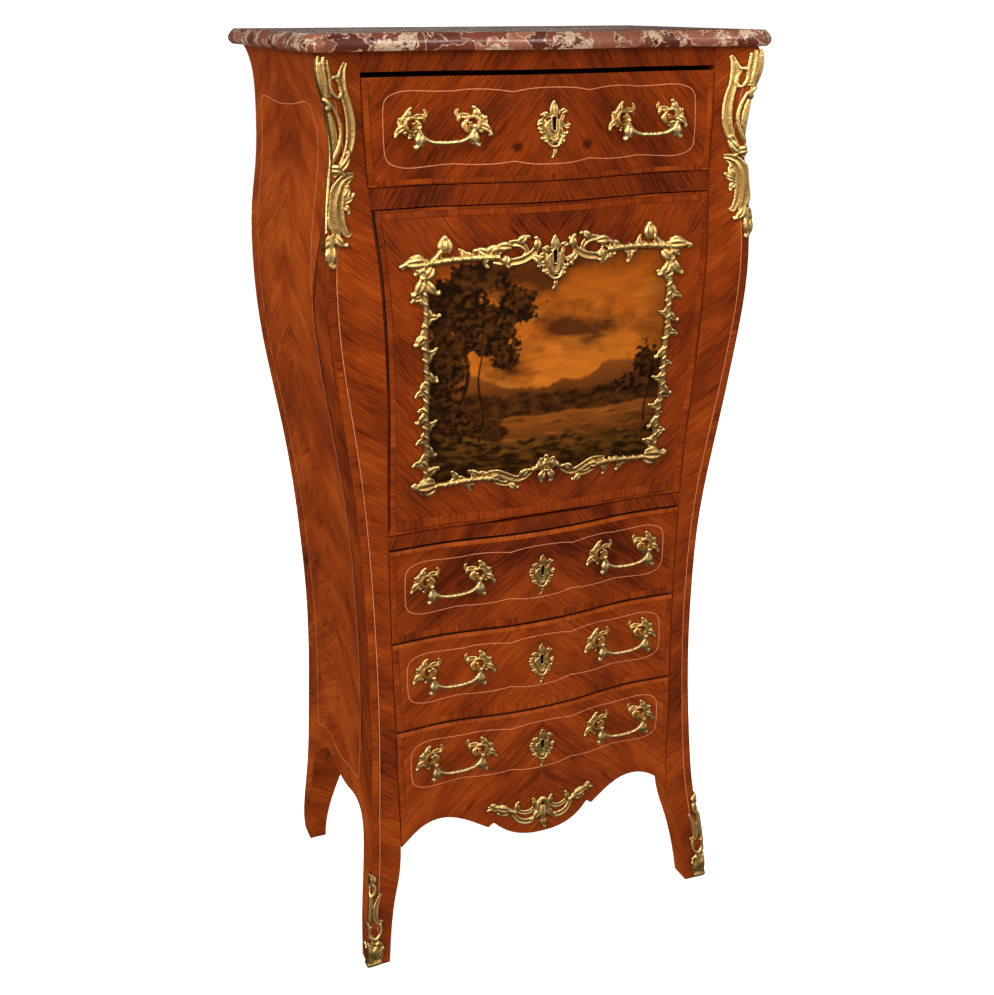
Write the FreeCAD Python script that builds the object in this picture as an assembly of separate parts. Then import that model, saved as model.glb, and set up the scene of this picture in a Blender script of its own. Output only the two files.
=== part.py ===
import FreeCAD, Part
import os

os.makedirs("parts", exist_ok=True)
V = FreeCAD.Vector

# Escritoire: a fall-front writing cabinet with a swelling carcase and a marble top.
# Millimetres, +Z up, front towards -Y, origin on the floor under the middle of the outline.

# Main sizes of the carcase
CARCASE_HEIGHT = 1400.0
BELLY_HALF_WIDTH = 330.0
BODY_DEPTH = 404.0
FRONT_DATUM = -185.0
BOMBE_DEPTH = 20.0
SERPENTINE_DEPTH = 22.0
SIDE_THICKNESS = 22.0
BACK_Y = FRONT_DATUM + BODY_DEPTH
REACH = 120.0

# Swelling outline by height, as shares: height, corner half width, rear half width,
# corner depth, opening-edge depth, middle swell.
BODY_SHARES = [
    (0.000, 0.945, 0.900, -1.05, -1.05, 0.59),
    (0.050, 0.927, 0.894, -0.80, -0.75, 0.59),
    (0.100, 0.902, 0.867, -0.25, -0.15, 0.59),
    (0.143, 0.883, 0.852, 0.20, 0.25, 0.59),
    (0.214, 0.867, 0.836, 0.65, 0.48, 0.59),
    (0.286, 0.855, 0.824, 0.90, 0.60, 0.59),
    (0.357, 0.852, 0.826, 1.00, 0.80, 0.55),
    (0.429, 0.858, 0.842, 0.98, 0.82, 0.50),
    (0.500, 0.873, 0.867, 0.70, 0.69, 0.50),
    (0.571, 0.902, 0.906, 0.15, 0.34, 0.46),
    (0.643, 0.943, 0.955, -0.25, -0.34, 0.41),
    (0.714, 0.983, 0.991, -0.50, -0.70, 0.36),
    (0.768, 0.999, 1.000, -0.65, -0.83, 0.36),
    (0.814, 0.993, 0.994, -0.65, -0.58, 0.55),
    (0.857, 0.973, 0.970, -0.60, -0.05, 0.82),
    (0.886, 0.953, 0.953, -0.53, 0.20, 0.96),
    (0.929, 0.944, 0.943, -0.45, 0.32, 1.00),
    (1.000, 0.985, 0.985, -0.60, 0.40, 1.00),
]
# Plan of the front between the posts: share of the opening width, share of the swell
SERPENTINE_SHARES = [(0.0, 1.0), (0.22, 0.80), (0.44, 0.22), (0.64, -0.22), (0.84, -0.14), (1.0, 0.0)]
CORNER_TURN_SHARE = 0.40
# Spline parameters of the half-way point and the arris of a post, past the edge of the opening at 1
POST_PARAMETERS = [1.12, 1.24]
# Inner edge of the front posts and legs: height share, half-width share
OPENING_SHARES = [
    (0.000, 0.836), (0.036, 0.821), (0.076, 0.788), (0.107, 0.752), (0.137, 0.737), (0.214, 0.738),
    (0.286, 0.740), (0.500, 0.747), (0.607, 0.751), (0.714, 0.761), (0.821, 0.784), (0.876, 0.799),
    (1.000, 0.808),
]
# Inner edge of the rear legs below the back panel: share of the leg height, share of the leg width
REAR_LEG_SHARES = [(0.0, 0.60), (0.30, 0.72), (0.62, 0.98), (1.0, 1.35)]

# Heights of the openings, from the top down
TOP_RAIL_HEIGHT = 26.0
TOP_OPENING_HEIGHT = 148.0
UPPER_RAIL_HEIGHT = 27.0
FALL_OPENING_HEIGHT = 477.0
FALL_RAIL_HEIGHT = 21.0
SECOND_DRAWER_HEIGHT = 155.0
THIRD_DRAWER_HEIGHT = 150.0
BOTTOM_DRAWER_DEPTH = 134.0
TOP_DRAWER_SLOT = 7.0
FRONT_GAP = 1.5
DRAWER_EDGE_BEVEL = 6.0

# Boards and posts
BOARD_THICKNESS = 12.0
TOP_BOARD_THICKNESS = 14.0
POST_DEPTH = 52.0
FOOT_DEPTH = 37.0
LEG_TURN_HEIGHT = 205.0
REAR_POST_DEPTH = 40.0
REAR_POST_WIDTH = 46.0
REAR_LEG_HEIGHT = 150.0
BACK_THICKNESS = 12.0
RAIL_DEPTH = 62.0
GUIDE_WIDTH = 14.0
GUIDE_HEIGHT = 18.0
GUIDE_CLEARANCE = 0.5
RUN_CLEARANCE = 0.3

# Scalloped lower edges. Front: share of the opening half width, height. Side: share of depth, height.
SIDE_ARCH_HEIGHT = 243.0
SIDE_ARCH_SHARES = [
    (0.000, 0.70), (0.004, 0.86), (0.060, 0.97), (0.145, 1.0), (0.30, 0.968), (0.43, 0.955),
    (0.56, 0.968), (0.68, 0.98), (0.80, 0.91), (0.92, 0.80), (0.99, 0.66), (1.0, 0.60),
]
APRON_ARCH_HEIGHT = 225.0
APRON_SHARES = [(0.0, 0.755), (0.11, 0.762), (0.21, 0.79), (0.30, 0.845), (0.335, 0.878)]
APRON_CUSP_SHARES = [(0.335, 0.878), (0.355, 0.886), (0.375, 0.868), (0.40, 0.868)]
APRON_ARCH_SHARES = [
    (0.40, 0.868), (0.47, 0.91), (0.59, 0.972), (0.72, 1.0), (0.84, 0.972), (0.93, 0.91), (1.0, 0.85),
]

# Drawer boxes
TOP_FRONT_PLANE = 26.0
LOWER_FRONT_PLANE = 38.0
BOX_SIDE_CLEARANCE = 5.0
BOX_SIDE_THICKNESS = 11.0
BOX_BOTTOM_THICKNESS = 7.0
BOX_BOTTOM_RAISE = 5.0
BOX_HEIGHT = 112.0
DRAWER_BACK_GAP = 4.0

# Fall front and writing compartment
FALL_PLANE = 32.0
FALL_TOP_GAP = 2.0
PIVOT_DEPTH = 20.0
PIVOT_RISE = 32.0
PIVOT_CLEARANCE = 1.0
PIN_RADIUS = 3.0
PIN_CLEARANCE = 0.06
PIN_LENGTH = 30.0
FLOOR_THICKNESS = 16.0
LINING_HALF_WIDTH = 236.0
NEST_HALF_WIDTH = 222.0
NEST_SET_BACK = 120.0
NEST_BOARD = 8.0
LETTER_ROW_HEIGHT = 84.0
PIGEONHOLE_HEIGHT = 150.0
LETTER_CLEARANCE = 0.4
LETTER_BOARD = 7.0
KNOB_RADIUS = 7.0
KNOB_LENGTH = 13.0
PICTURE_HALF_WIDTH = 186.0
PICTURE_BOTTOM = 799.0
PICTURE_TOP = 1126.0
PICTURE_THICKNESS = 2.0
LEATHER_THICKNESS = 1.5
LEATHER_MARGIN = 34.0
QUADRANT_RADIUS = 150.0
QUADRANT_BAR = 8.0
QUADRANT_THICKNESS = 4.0
QUADRANT_CLEARANCE = 0.5
QUADRANT_START = -13.0
QUADRANT_END = 85.0
QUADRANT_OVERRUN = 2.0
QUADRANT_FOOT = 34.0
QUADRANT_FOOT_THICKNESS = 2.5
KEEPER_DEPTH = 8.0
KEEPER_MARGIN = 5.0
STOP_RADIUS = 6.5

# Locks
LOCK_WIDTH = 52.0
LOCK_HEIGHT = 42.0
LOCK_DEPTH = 12.0
LOCK_SET_DOWN = 2.0
BOLT_WIDTH = 14.0
BOLT_THICKNESS = 6.0
BOLT_LENGTH = 26.0
BOLT_ENGAGE = 6.0
BOLT_CLEARANCE = 0.3
KEYHOLE_RADIUS = 2.6
KEYHOLE_SLOT = 2.6
KEYHOLE_DROP = 10.0

# Gilt mounts
MOUNT_RELIEF = 6.0
KEY_RISE_SHARE = 0.14
TOP_ESCUTCHEON_HEIGHT = 76.0
ESCUTCHEON_HEIGHT = 62.0
ESCUTCHEON_WIDTH_SHARE = 0.70
HANDLE_SPACING = 78.0
TOP_HANDLE_OFFSET = 156.0
HANDLE_OFFSET = 145.5
TOP_HANDLE_RISE = 7.0
HANDLE_RISE = 15.0
ROSETTE_WIDTH = 58.0
ROSETTE_HEIGHT = 50.0
BAIL_STAND = 15.0
BAIL_DROP = 27.0
BAIL_RADIUS = 3.2
BAIL_PIN_RADIUS = 2.2
HEAD_RADIUS = 5.5
STEM_RADIUS = 4.0
FRAME_RELIEF = 7.0
FRAME_OVERLAP = 6.0
FRAME_WIDTH = 18.0
CORNER_MOUNT_LENGTH = 270.0
CORNER_MOUNT_WIDTH = 48.0
CORNER_MOUNT_RELIEF = 9.0
CORNER_MOUNT_WRAP = 22.0
MOUNT_TIP_WRAP = 4.0
SABOT_HEIGHT = 162.0
SABOT_RELIEF = 4.0
SABOT_WRAP = 24.0
APRON_MOUNT_HALF_WIDTH = 98.0
APRON_MOUNT_HEIGHT = 70.0
# Right halves of the mounts' outlines from the top down: share of width, share of height, and the foot
ESCUTCHEON_HALF = [
    (0.0, 0.50), (0.14, 0.40), (0.28, 0.42), (0.36, 0.28), (0.28, 0.16), (0.47, 0.04), (0.36, -0.10),
    (0.40, -0.24), (0.20, -0.30), (0.12, -0.42),
]
ESCUTCHEON_FOOT = -0.50
APRON_MOUNT_HALF = [
    (0.0, 0.46), (0.10, 0.30), (0.22, 0.38), (0.36, 0.24), (0.52, 0.50), (0.44, 0.12), (0.30, -0.06),
    (0.20, -0.16), (0.12, -0.34),
]
APRON_MOUNT_FOOT = -0.50
FRAME_HALF = [
    (0.0, 0.49), (0.16, 0.505), (0.32, 0.485), (0.44, 0.50), (0.57, 0.515), (0.515, 0.40), (0.50, 0.20),
    (0.505, 0.0), (0.49, -0.22), (0.50, -0.38), (0.53, -0.50), (0.40, -0.51), (0.22, -0.495), (0.10, -0.515),
]
FRAME_FOOT = -0.53
# Whole outline of a handle's leafy rosette, from its outer tip round
ROSETTE_SHARES = [
    (0.62, -0.22), (0.44, 0.02), (0.48, 0.26), (0.26, 0.30), (0.10, 0.50), (-0.08, 0.32), (-0.30, 0.36),
    (-0.26, 0.10), (-0.38, -0.04), (-0.22, -0.20), (-0.12, -0.46), (0.10, -0.34), (0.30, -0.42),
]
# Outlines from the arris inwards. Corner mount: share of length from the top, share of width.
# Sabot: share of height from the floor, share of the width of the foot.
CORNER_SHARES = [
    (0.0, 0.50), (0.03, 0.86), (0.12, 0.74), (0.20, 1.0), (0.34, 0.90), (0.46, 0.62), (0.54, 0.76),
    (0.66, 0.50), (0.78, 0.40), (0.90, 0.16), (1.0, 0.02),
]
SABOT_SHARES = [(0.0, 1.0), (0.14, 0.98), (0.24, 0.74), (0.36, 0.50), (0.55, 0.40), (0.78, 0.20), (1.0, 0.02)]

# Marble slab
MARBLE_THICKNESS = 22.0
MARBLE_SIDE_OVERHANG = 22.0
MARBLE_FRONT_OVERHANG = 16.0
MARBLE_CORNER_RADIUS = 24.0
MARBLE_MOULDING = 10.0
# Moulded edge: share of the thickness, share of the moulding that is cut back
MARBLE_EDGE_SHARES = [(0.0, 0.62), (0.20, 0.14), (0.38, 0.0), (0.62, 0.16), (0.84, 0.56), (1.0, 1.0)]

# Levels that follow from the stack of rails and openings
TOP_OPENING_TOP = CARCASE_HEIGHT - TOP_RAIL_HEIGHT
TOP_OPENING_FLOOR = TOP_OPENING_TOP - TOP_OPENING_HEIGHT
FALL_TOP = TOP_OPENING_FLOOR - UPPER_RAIL_HEIGHT
FALL_BOTTOM = FALL_TOP - FALL_OPENING_HEIGHT
SECOND_TOP = FALL_BOTTOM - FALL_RAIL_HEIGHT
THIRD_TOP = SECOND_TOP - SECOND_DRAWER_HEIGHT
BOTTOM_TOP = THIRD_TOP - THIRD_DRAWER_HEIGHT
BOTTOM_FLOOR = BOTTOM_TOP - BOTTOM_DRAWER_DEPTH
PIVOT_Y = FRONT_DATUM + PIVOT_DEPTH
PIVOT_Z = FALL_BOTTOM + PIVOT_RISE
FALL_BACK = FRONT_DATUM + FALL_PLANE
FLOOR_LEVEL = PIVOT_Z + FALL_PLANE - PIVOT_DEPTH
BACK_FACE = BACK_Y - BACK_THICKNESS


def value(rows, column, share):
    """A column of a share table at a height share, run smoothly through its rows."""
    heights = [r[0] for r in rows]
    values = [r[column] for r in rows]
    last = len(rows) - 1
    n = 0
    while n < last - 1 and share > heights[n + 1]:
        n += 1
    slopes = []
    for k in (n, n + 1):
        a, b = max(k - 1, 0), min(k + 1, last)
        slopes.append((values[b] - values[a]) / (heights[b] - heights[a]))
    span = heights[n + 1] - heights[n]
    t = (share - heights[n]) / span
    rise = values[n + 1] - values[n]
    p, q = slopes[0] * span, slopes[1] * span
    return values[n] + t * p + t * t * (3 * rise - 2 * p - q) + t * t * t * (p + q - 2 * rise)


def opening_half(z):
    return BELLY_HALF_WIDTH * value(OPENING_SHARES, 1, z / CARCASE_HEIGHT)


def corner_half(z):
    return BELLY_HALF_WIDTH * value(BODY_SHARES, 1, z / CARCASE_HEIGHT)


def rear_half(z):
    return BELLY_HALF_WIDTH * value(BODY_SHARES, 2, z / CARCASE_HEIGHT)


def corner_y(z):
    return FRONT_DATUM + BOMBE_DEPTH * value(BODY_SHARES, 3, z / CARCASE_HEIGHT)


def front_y(x, z):
    """Depth of the veneered front between the posts."""
    share = z / CARCASE_HEIGHT
    edge = FRONT_DATUM + BOMBE_DEPTH * value(BODY_SHARES, 4, share)
    swell = SERPENTINE_DEPTH * value(BODY_SHARES, 5, share)
    across = min(abs(x) / opening_half(z), 1.0)
    return edge - swell * value(SERPENTINE_SHARES, 1, across)


def box(x0, x1, y0, y1, z0, z1):
    return Part.makeBox(x1 - x0, y1 - y0, z1 - z0, V(x0, y0, z0))


def mirrored(shape):
    return shape.mirror(V(0, 0, 0), V(1, 0, 0))


def curve(points, parameters=None):
    line = Part.BSplineCurve()
    if parameters:
        line.interpolate(Points=points, Parameters=parameters)
    else:
        line.interpolate(points)
    return line.toShape()


def solid_face(edges):
    return Part.Face(Part.Wire(edges))


def moved(shape, x, y, z):
    other = shape.copy()
    other.translate(V(x, y, z))
    return other


def save(name, shapes):
    shape = shapes[0] if len(shapes) == 1 else Part.makeCompound(shapes)
    shape.exportStep("parts/" + name + ".step")


def one(shape):
    """The single solid of a shape."""
    return max(shape.Solids, key=lambda s: s.Volume)


# Outer volume of the carcase, a smooth body through level sections
def body_section(row):
    height, corner, rear, corner_depth, edge_depth, swell = row
    z = height * CARCASE_HEIGHT
    outer = corner * BELLY_HALF_WIDTH
    inner = opening_half(z)
    post_y = FRONT_DATUM + corner_depth * BOMBE_DEPTH
    edge_y = FRONT_DATUM + edge_depth * BOMBE_DEPTH
    half = [(inner * t, edge_y - swell * SERPENTINE_DEPTH * s) for t, s in SERPENTINE_SHARES]
    half.append(((inner + outer) / 2, edge_y + CORNER_TURN_SHARE * (post_y - edge_y)))
    half.append((outer, post_y))
    points = [V(-x, y, z) for x, y in reversed(half[1:])] + [V(x, y, z) for x, y in half]
    steps = [t for t, s in SERPENTINE_SHARES] + POST_PARAMETERS
    front = curve(points, [-t for t in reversed(steps[1:])] + steps)
    back = rear * BELLY_HALF_WIDTH
    ring = [V(outer, post_y, z), V(back, BACK_Y, z), V(-back, BACK_Y, z), V(-outer, post_y, z)]
    return Part.Wire([front] + [Part.makeLine(ring[n], ring[n + 1]) for n in range(3)])


def inside_section(row):
    z = row[0] * CARCASE_HEIGHT
    front = row[1] * BELLY_HALF_WIDTH - SIDE_THICKNESS
    back = row[2] * BELLY_HALF_WIDTH - SIDE_THICKNESS
    lean = (front - back) * REACH / BODY_DEPTH
    ring = [
        V(front + lean, FRONT_DATUM - REACH, z),
        V(back - lean, BACK_Y + REACH, z),
        V(lean - back, BACK_Y + REACH, z),
        V(-lean - front, FRONT_DATUM - REACH, z),
    ]
    return Part.makePolygon(ring + [ring[0]])


BODY = Part.makeLoft([body_section(r) for r in BODY_SHARES], True, False)
INSIDE = Part.makeLoft([inside_section(r) for r in BODY_SHARES], True, False)


def opening(offset, y0, y1, z0, z1):
    """The space between the front posts, drawn in by an offset, over a range of depth and height."""
    points = [(BELLY_HALF_WIDTH * w + offset, CARCASE_HEIGHT * h) for h, w in OPENING_SHARES]
    right = curve([V(x, y0, z) for x, z in points])
    left = curve([V(-x, y0, z) for x, z in points])
    low = Part.makeLine(V(-points[0][0], y0, 0), V(points[0][0], y0, 0))
    high = Part.makeLine(V(-points[-1][0], y0, CARCASE_HEIGHT), V(points[-1][0], y0, CARCASE_HEIGHT))
    face = solid_face([low, right, high, left])
    prism = face.extrude(V(0, y1 - y0, 0))
    wide = BELLY_HALF_WIDTH + REACH
    return prism.common(box(-wide, wide, y0, y1, z0, z1))


def front_block(offset, back, z0, z1):
    """A piece of the shaped front between the posts, flat at the back."""
    return one(BODY.common(opening(offset, FRONT_DATUM - REACH, back, z0, z1)))


# Front posts with legs
def front_post():
    wide = BELLY_HALF_WIDTH + REACH
    back = FRONT_DATUM + POST_DEPTH
    post = BODY.common(box(-wide, 0, FRONT_DATUM - REACH, back, 0, CARCASE_HEIGHT))
    post = post.cut(opening(0, FRONT_DATUM - REACH, BACK_Y, 0, CARCASE_HEIGHT))
    foot_back = corner_y(0) + FOOT_DEPTH
    half = LEG_TURN_HEIGHT / 2
    knee = V(-wide, (foot_back + back) / 2, half)
    edge = curve([V(-wide, foot_back, 0), knee, V(-wide, back, LEG_TURN_HEIGHT)])
    corner = V(-wide, back + REACH, LEG_TURN_HEIGHT)
    low = V(-wide, back + REACH, 0)
    rest = [Part.makeLine(edge.Vertexes[-1].Point, corner), Part.makeLine(corner, low)]
    rest.append(Part.makeLine(low, V(-wide, foot_back, 0)))
    waste = solid_face([edge] + rest).extrude(V(wide, 0, 0))
    return one(post.cut(waste))


FRONT_LEFT = front_post()
FRONT_RIGHT = mirrored(FRONT_LEFT)


# Rear posts with legs: everything behind the side boards and outside this inner edge
def rear_post():
    rows = [r for r in BODY_SHARES if r[0] * CARCASE_HEIGHT > REAR_LEG_HEIGHT]
    y0 = BACK_Y - REAR_POST_DEPTH
    leg = [
        (rear_half(h * REAR_LEG_HEIGHT) - w * REAR_POST_WIDTH, h * REAR_LEG_HEIGHT)
        for h, w in REAR_LEG_SHARES
    ]
    high = [(r[2] * BELLY_HALF_WIDTH - REAR_POST_WIDTH, r[0] * CARCASE_HEIGHT) for r in rows]
    lower = curve([V(-x, y0, z) for x, z in leg])
    upper = curve([V(-x, y0, z) for x, z in high])
    wide = BELLY_HALF_WIDTH + REACH
    joint = Part.makeLine(V(-leg[-1][0], y0, leg[-1][1]), V(-high[0][0], y0, high[0][1]))
    top = Part.makeLine(V(-high[-1][0], y0, CARCASE_HEIGHT), V(-wide, y0, CARCASE_HEIGHT))
    side = Part.makeLine(V(-wide, y0, CARCASE_HEIGHT), V(-wide, y0, 0))
    foot = Part.makeLine(V(-wide, y0, 0), V(-leg[0][0], y0, 0))
    prism = solid_face([lower, joint, upper, top, side, foot]).extrude(V(0, REAR_POST_DEPTH, 0))
    return one(BODY.common(prism))


REAR_LEFT = rear_post()
REAR_RIGHT = mirrored(REAR_LEFT)


# Side boards with a scalloped lower edge
def side_board():
    wide = BELLY_HALF_WIDTH + REACH
    y0 = FRONT_DATUM + POST_DEPTH
    y1 = BACK_Y - REAR_POST_DEPTH
    slab = box(-wide, 0, y0, y1, 0, CARCASE_HEIGHT)
    points = [V(-wide, y0 + s * (y1 - y0), h * SIDE_ARCH_HEIGHT) for s, h in SIDE_ARCH_SHARES]
    edge = curve(points)
    lines = [
        Part.makeLine(points[-1], V(-wide, y1, 0)),
        Part.makeLine(V(-wide, y1, 0), V(-wide, y0, 0)),
        Part.makeLine(V(-wide, y0, 0), points[0]),
    ]
    waste = solid_face([edge] + lines).extrude(V(wide, 0, 0))
    return one(BODY.common(slab).cut(INSIDE).cut(waste))


LEFT_SIDE = side_board()

# Back panel between the rear posts
wide = BELLY_HALF_WIDTH + REACH
BACK = BODY.common(box(-wide, wide, BACK_FACE, BACK_Y, BOTTOM_FLOOR - BOARD_THICKNESS, CARCASE_HEIGHT))
BACK = one(BACK.cut(REAR_LEFT).cut(REAR_RIGHT))
POSTS = [FRONT_LEFT, FRONT_RIGHT, REAR_LEFT, REAR_RIGHT]


def level_board(z0, z1, y0):
    """A board across the carcase, housed between the sides and notched round the posts."""
    board = INSIDE.common(box(-wide, wide, y0, BACK_FACE, z0, z1))
    for post in POSTS:
        board = board.cut(post)
    return one(board)


RAIL_BACK = FRONT_DATUM + RAIL_DEPTH
LOWER_PLANE = FRONT_DATUM + LOWER_FRONT_PLANE
TOP_PLANE = FRONT_DATUM + TOP_FRONT_PLANE
TOP_BOARD = level_board(CARCASE_HEIGHT - TOP_BOARD_THICKNESS, CARCASE_HEIGHT, RAIL_BACK)
TOP_DUST = level_board(TOP_OPENING_FLOOR - BOARD_THICKNESS, TOP_OPENING_FLOOR, RAIL_BACK)
SECOND_DUST = level_board(SECOND_TOP, SECOND_TOP + BOARD_THICKNESS, RAIL_BACK)
LOWER_DUSTS = []
for level in (THIRD_TOP, BOTTOM_TOP):
    low = level - BOARD_THICKNESS / 2
    LOWER_DUSTS.append(level_board(low, low + BOARD_THICKNESS, LOWER_PLANE + GUIDE_CLEARANCE))
BOTTOM = level_board(BOTTOM_FLOOR - BOARD_THICKNESS, BOTTOM_FLOOR, LOWER_PLANE + GUIDE_CLEARANCE)

# Front rails between the posts
TOP_RAIL = front_block(0, RAIL_BACK, TOP_OPENING_TOP, CARCASE_HEIGHT)
UPPER_RAIL = front_block(0, RAIL_BACK, FALL_TOP, TOP_OPENING_FLOOR)
FALL_RAIL = front_block(0, RAIL_BACK, SECOND_TOP, FALL_BOTTOM)

# Space swept by the rounded lower edge of the fall
SWING_RADIUS = PIVOT_RISE - PIVOT_CLEARANCE


def swing(radius):
    return Part.makeCylinder(radius, 2 * wide, V(-wide, PIVOT_Y, PIVOT_Z), V(1, 0, 0))


# Writing compartment
FLOOR = level_board(FLOOR_LEVEL - FLOOR_THICKNESS, FLOOR_LEVEL, PIVOT_Y + SWING_RADIUS + PIVOT_CLEARANCE)
NEST_FRONT = FALL_BACK + NEST_SET_BACK
NEST_BACK = BACK_FACE
LINING_BACK = BACK_FACE
lining = opening(0, FALL_BACK + RUN_CLEARANCE, LINING_BACK, FLOOR_LEVEL, FALL_TOP)
room = box(-LINING_HALF_WIDTH, LINING_HALF_WIDTH, FRONT_DATUM - REACH, BACK_Y, 0, CARCASE_HEIGHT)
lining = lining.cut(room)
lining = lining.cut(swing(SWING_RADIUS + PIVOT_CLEARANCE)).cut(REAR_LEFT).cut(REAR_RIGHT)
LININGS = [s for s in lining.Solids]

# Letter nest: uprights, two shelves, two dividers and the divider between the small drawers
SHELF_LOW = FLOOR_LEVEL + LETTER_ROW_HEIGHT
SHELF_HIGH = SHELF_LOW + NEST_BOARD + PIGEONHOLE_HEIGHT
NEST_INNER = NEST_HALF_WIDTH - NEST_BOARD
PIGEON_HALF = NEST_INNER / 3
NEST = []
for s in (-1, 1):
    a, b = sorted((s * NEST_INNER, s * NEST_HALF_WIDTH))
    NEST.append(box(a, b, NEST_FRONT, NEST_BACK, FLOOR_LEVEL, SHELF_HIGH + NEST_BOARD))
    a, b = sorted((s * PIGEON_HALF, s * (PIGEON_HALF + NEST_BOARD)))
    NEST.append(box(a, b, NEST_FRONT, NEST_BACK, SHELF_LOW + NEST_BOARD, SHELF_HIGH))
for z in (SHELF_LOW, SHELF_HIGH):
    NEST.append(box(-NEST_INNER, NEST_INNER, NEST_FRONT, NEST_BACK, z, z + NEST_BOARD))
NEST.append(box(-NEST_BOARD / 2, NEST_BOARD / 2, NEST_FRONT, NEST_BACK, FLOOR_LEVEL, SHELF_LOW))


# Small letter drawers with a turned knob
def letter_drawer(side):
    x0 = NEST_BOARD / 2 + LETTER_CLEARANCE
    x1 = NEST_INNER - LETTER_CLEARANCE
    z0 = FLOOR_LEVEL + RUN_CLEARANCE
    z1 = SHELF_LOW - LETTER_CLEARANCE
    y1 = NEST_BACK - BOARD_THICKNESS
    y0 = NEST_FRONT + LETTER_BOARD
    middle = (x0 + x1) / 2
    rim = z1 - LETTER_BOARD
    pieces = [
        box(x0, x1, NEST_FRONT, y0, z0, z1),
        box(x0, x0 + LETTER_BOARD, y0, y1, z0, rim),
        box(x1 - LETTER_BOARD, x1, y0, y1, z0, rim),
        box(x0 + LETTER_BOARD, x1 - LETTER_BOARD, y1 - LETTER_BOARD, y1, z0, rim),
        box(x0 + LETTER_BOARD, x1 - LETTER_BOARD, y0, y1 - LETTER_BOARD, z0, z0 + LETTER_BOARD),
    ]
    tip = NEST_FRONT - KNOB_LENGTH + KNOB_RADIUS
    height = (z0 + z1) / 2
    knob = Part.makeSphere(KNOB_RADIUS, V(middle, tip, height))
    neck = Part.makeCylinder(KNOB_RADIUS / 2, NEST_FRONT - tip, V(middle, tip, height), V(0, 1, 0))
    pieces.append(knob.fuse(neck).common(box(x0, x1, tip - REACH, NEST_FRONT, z0, z1)))
    return [mirrored(p) for p in pieces] if side < 0 else pieces


# Lock case and bolt on the back of a front. Returns the case, the bolt and its mortise.
def lock(plane, top, throw):
    high = top - LOCK_SET_DOWN
    case = box(-LOCK_WIDTH / 2, LOCK_WIDTH / 2, plane, plane + LOCK_DEPTH, high - LOCK_HEIGHT, high)
    half = BOLT_WIDTH / 2
    y0 = plane + (LOCK_DEPTH - BOLT_THICKNESS) / 2
    y1 = y0 + BOLT_THICKNESS
    bolt = box(-half, half, y0, y1, high - BOLT_LENGTH, high)
    c = BOLT_CLEARANCE
    way = box(-half - c, half + c, y0 - c, y1 + c, high - BOLT_LENGTH - c, high + throw + c)
    return case.cut(way), bolt, way


# Keyhole: a round hole with a slot below it, through everything in front of the lock
def keyhole(z, back):
    y0 = FRONT_DATUM - REACH
    hole = Part.makeCylinder(KEYHOLE_RADIUS, back - y0, V(0, y0, z), V(0, 1, 0))
    slot = box(-KEYHOLE_SLOT / 2, KEYHOLE_SLOT / 2, y0, back, z - KEYHOLE_DROP, z)
    return hole.fuse(slot)


def outline(shares, x, z, width, height):
    """A closed smooth outline drawn from shares of a width and a height."""
    y0 = FRONT_DATUM - REACH
    points = [V(x + s * width, y0, z + t * height) for s, t in shares]
    line = Part.BSplineCurve()
    line.interpolate(Points=points, PeriodicFlag=True)
    return line.toShape()


def mount(edge, relief, depth=REACH):
    """A cast mount of even relief that follows the shaped front."""
    prism = solid_face([edge]).extrude(V(0, REACH + depth, 0))
    return prism.common(moved(BODY, 0, -relief, 0)).cut(BODY)


def both_halves(half, foot):
    """A whole outline from its right half and the foot on the middle line."""
    return half + [(0.0, foot)] + [(-s, t) for s, t in reversed(half[1:])]


# Gilt cartouche with leafy top and drop round a keyhole
ESCUTCHEON_SHARES = both_halves(ESCUTCHEON_HALF, ESCUTCHEON_FOOT)


def escutcheon(z, height):
    edge = outline(ESCUTCHEON_SHARES, 0, z, height * ESCUTCHEON_WIDTH_SHARE, height)
    return one(mount(edge, MOUNT_RELIEF).cut(keyhole(z + KEY_RISE_SHARE * height, BACK_Y)))


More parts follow.
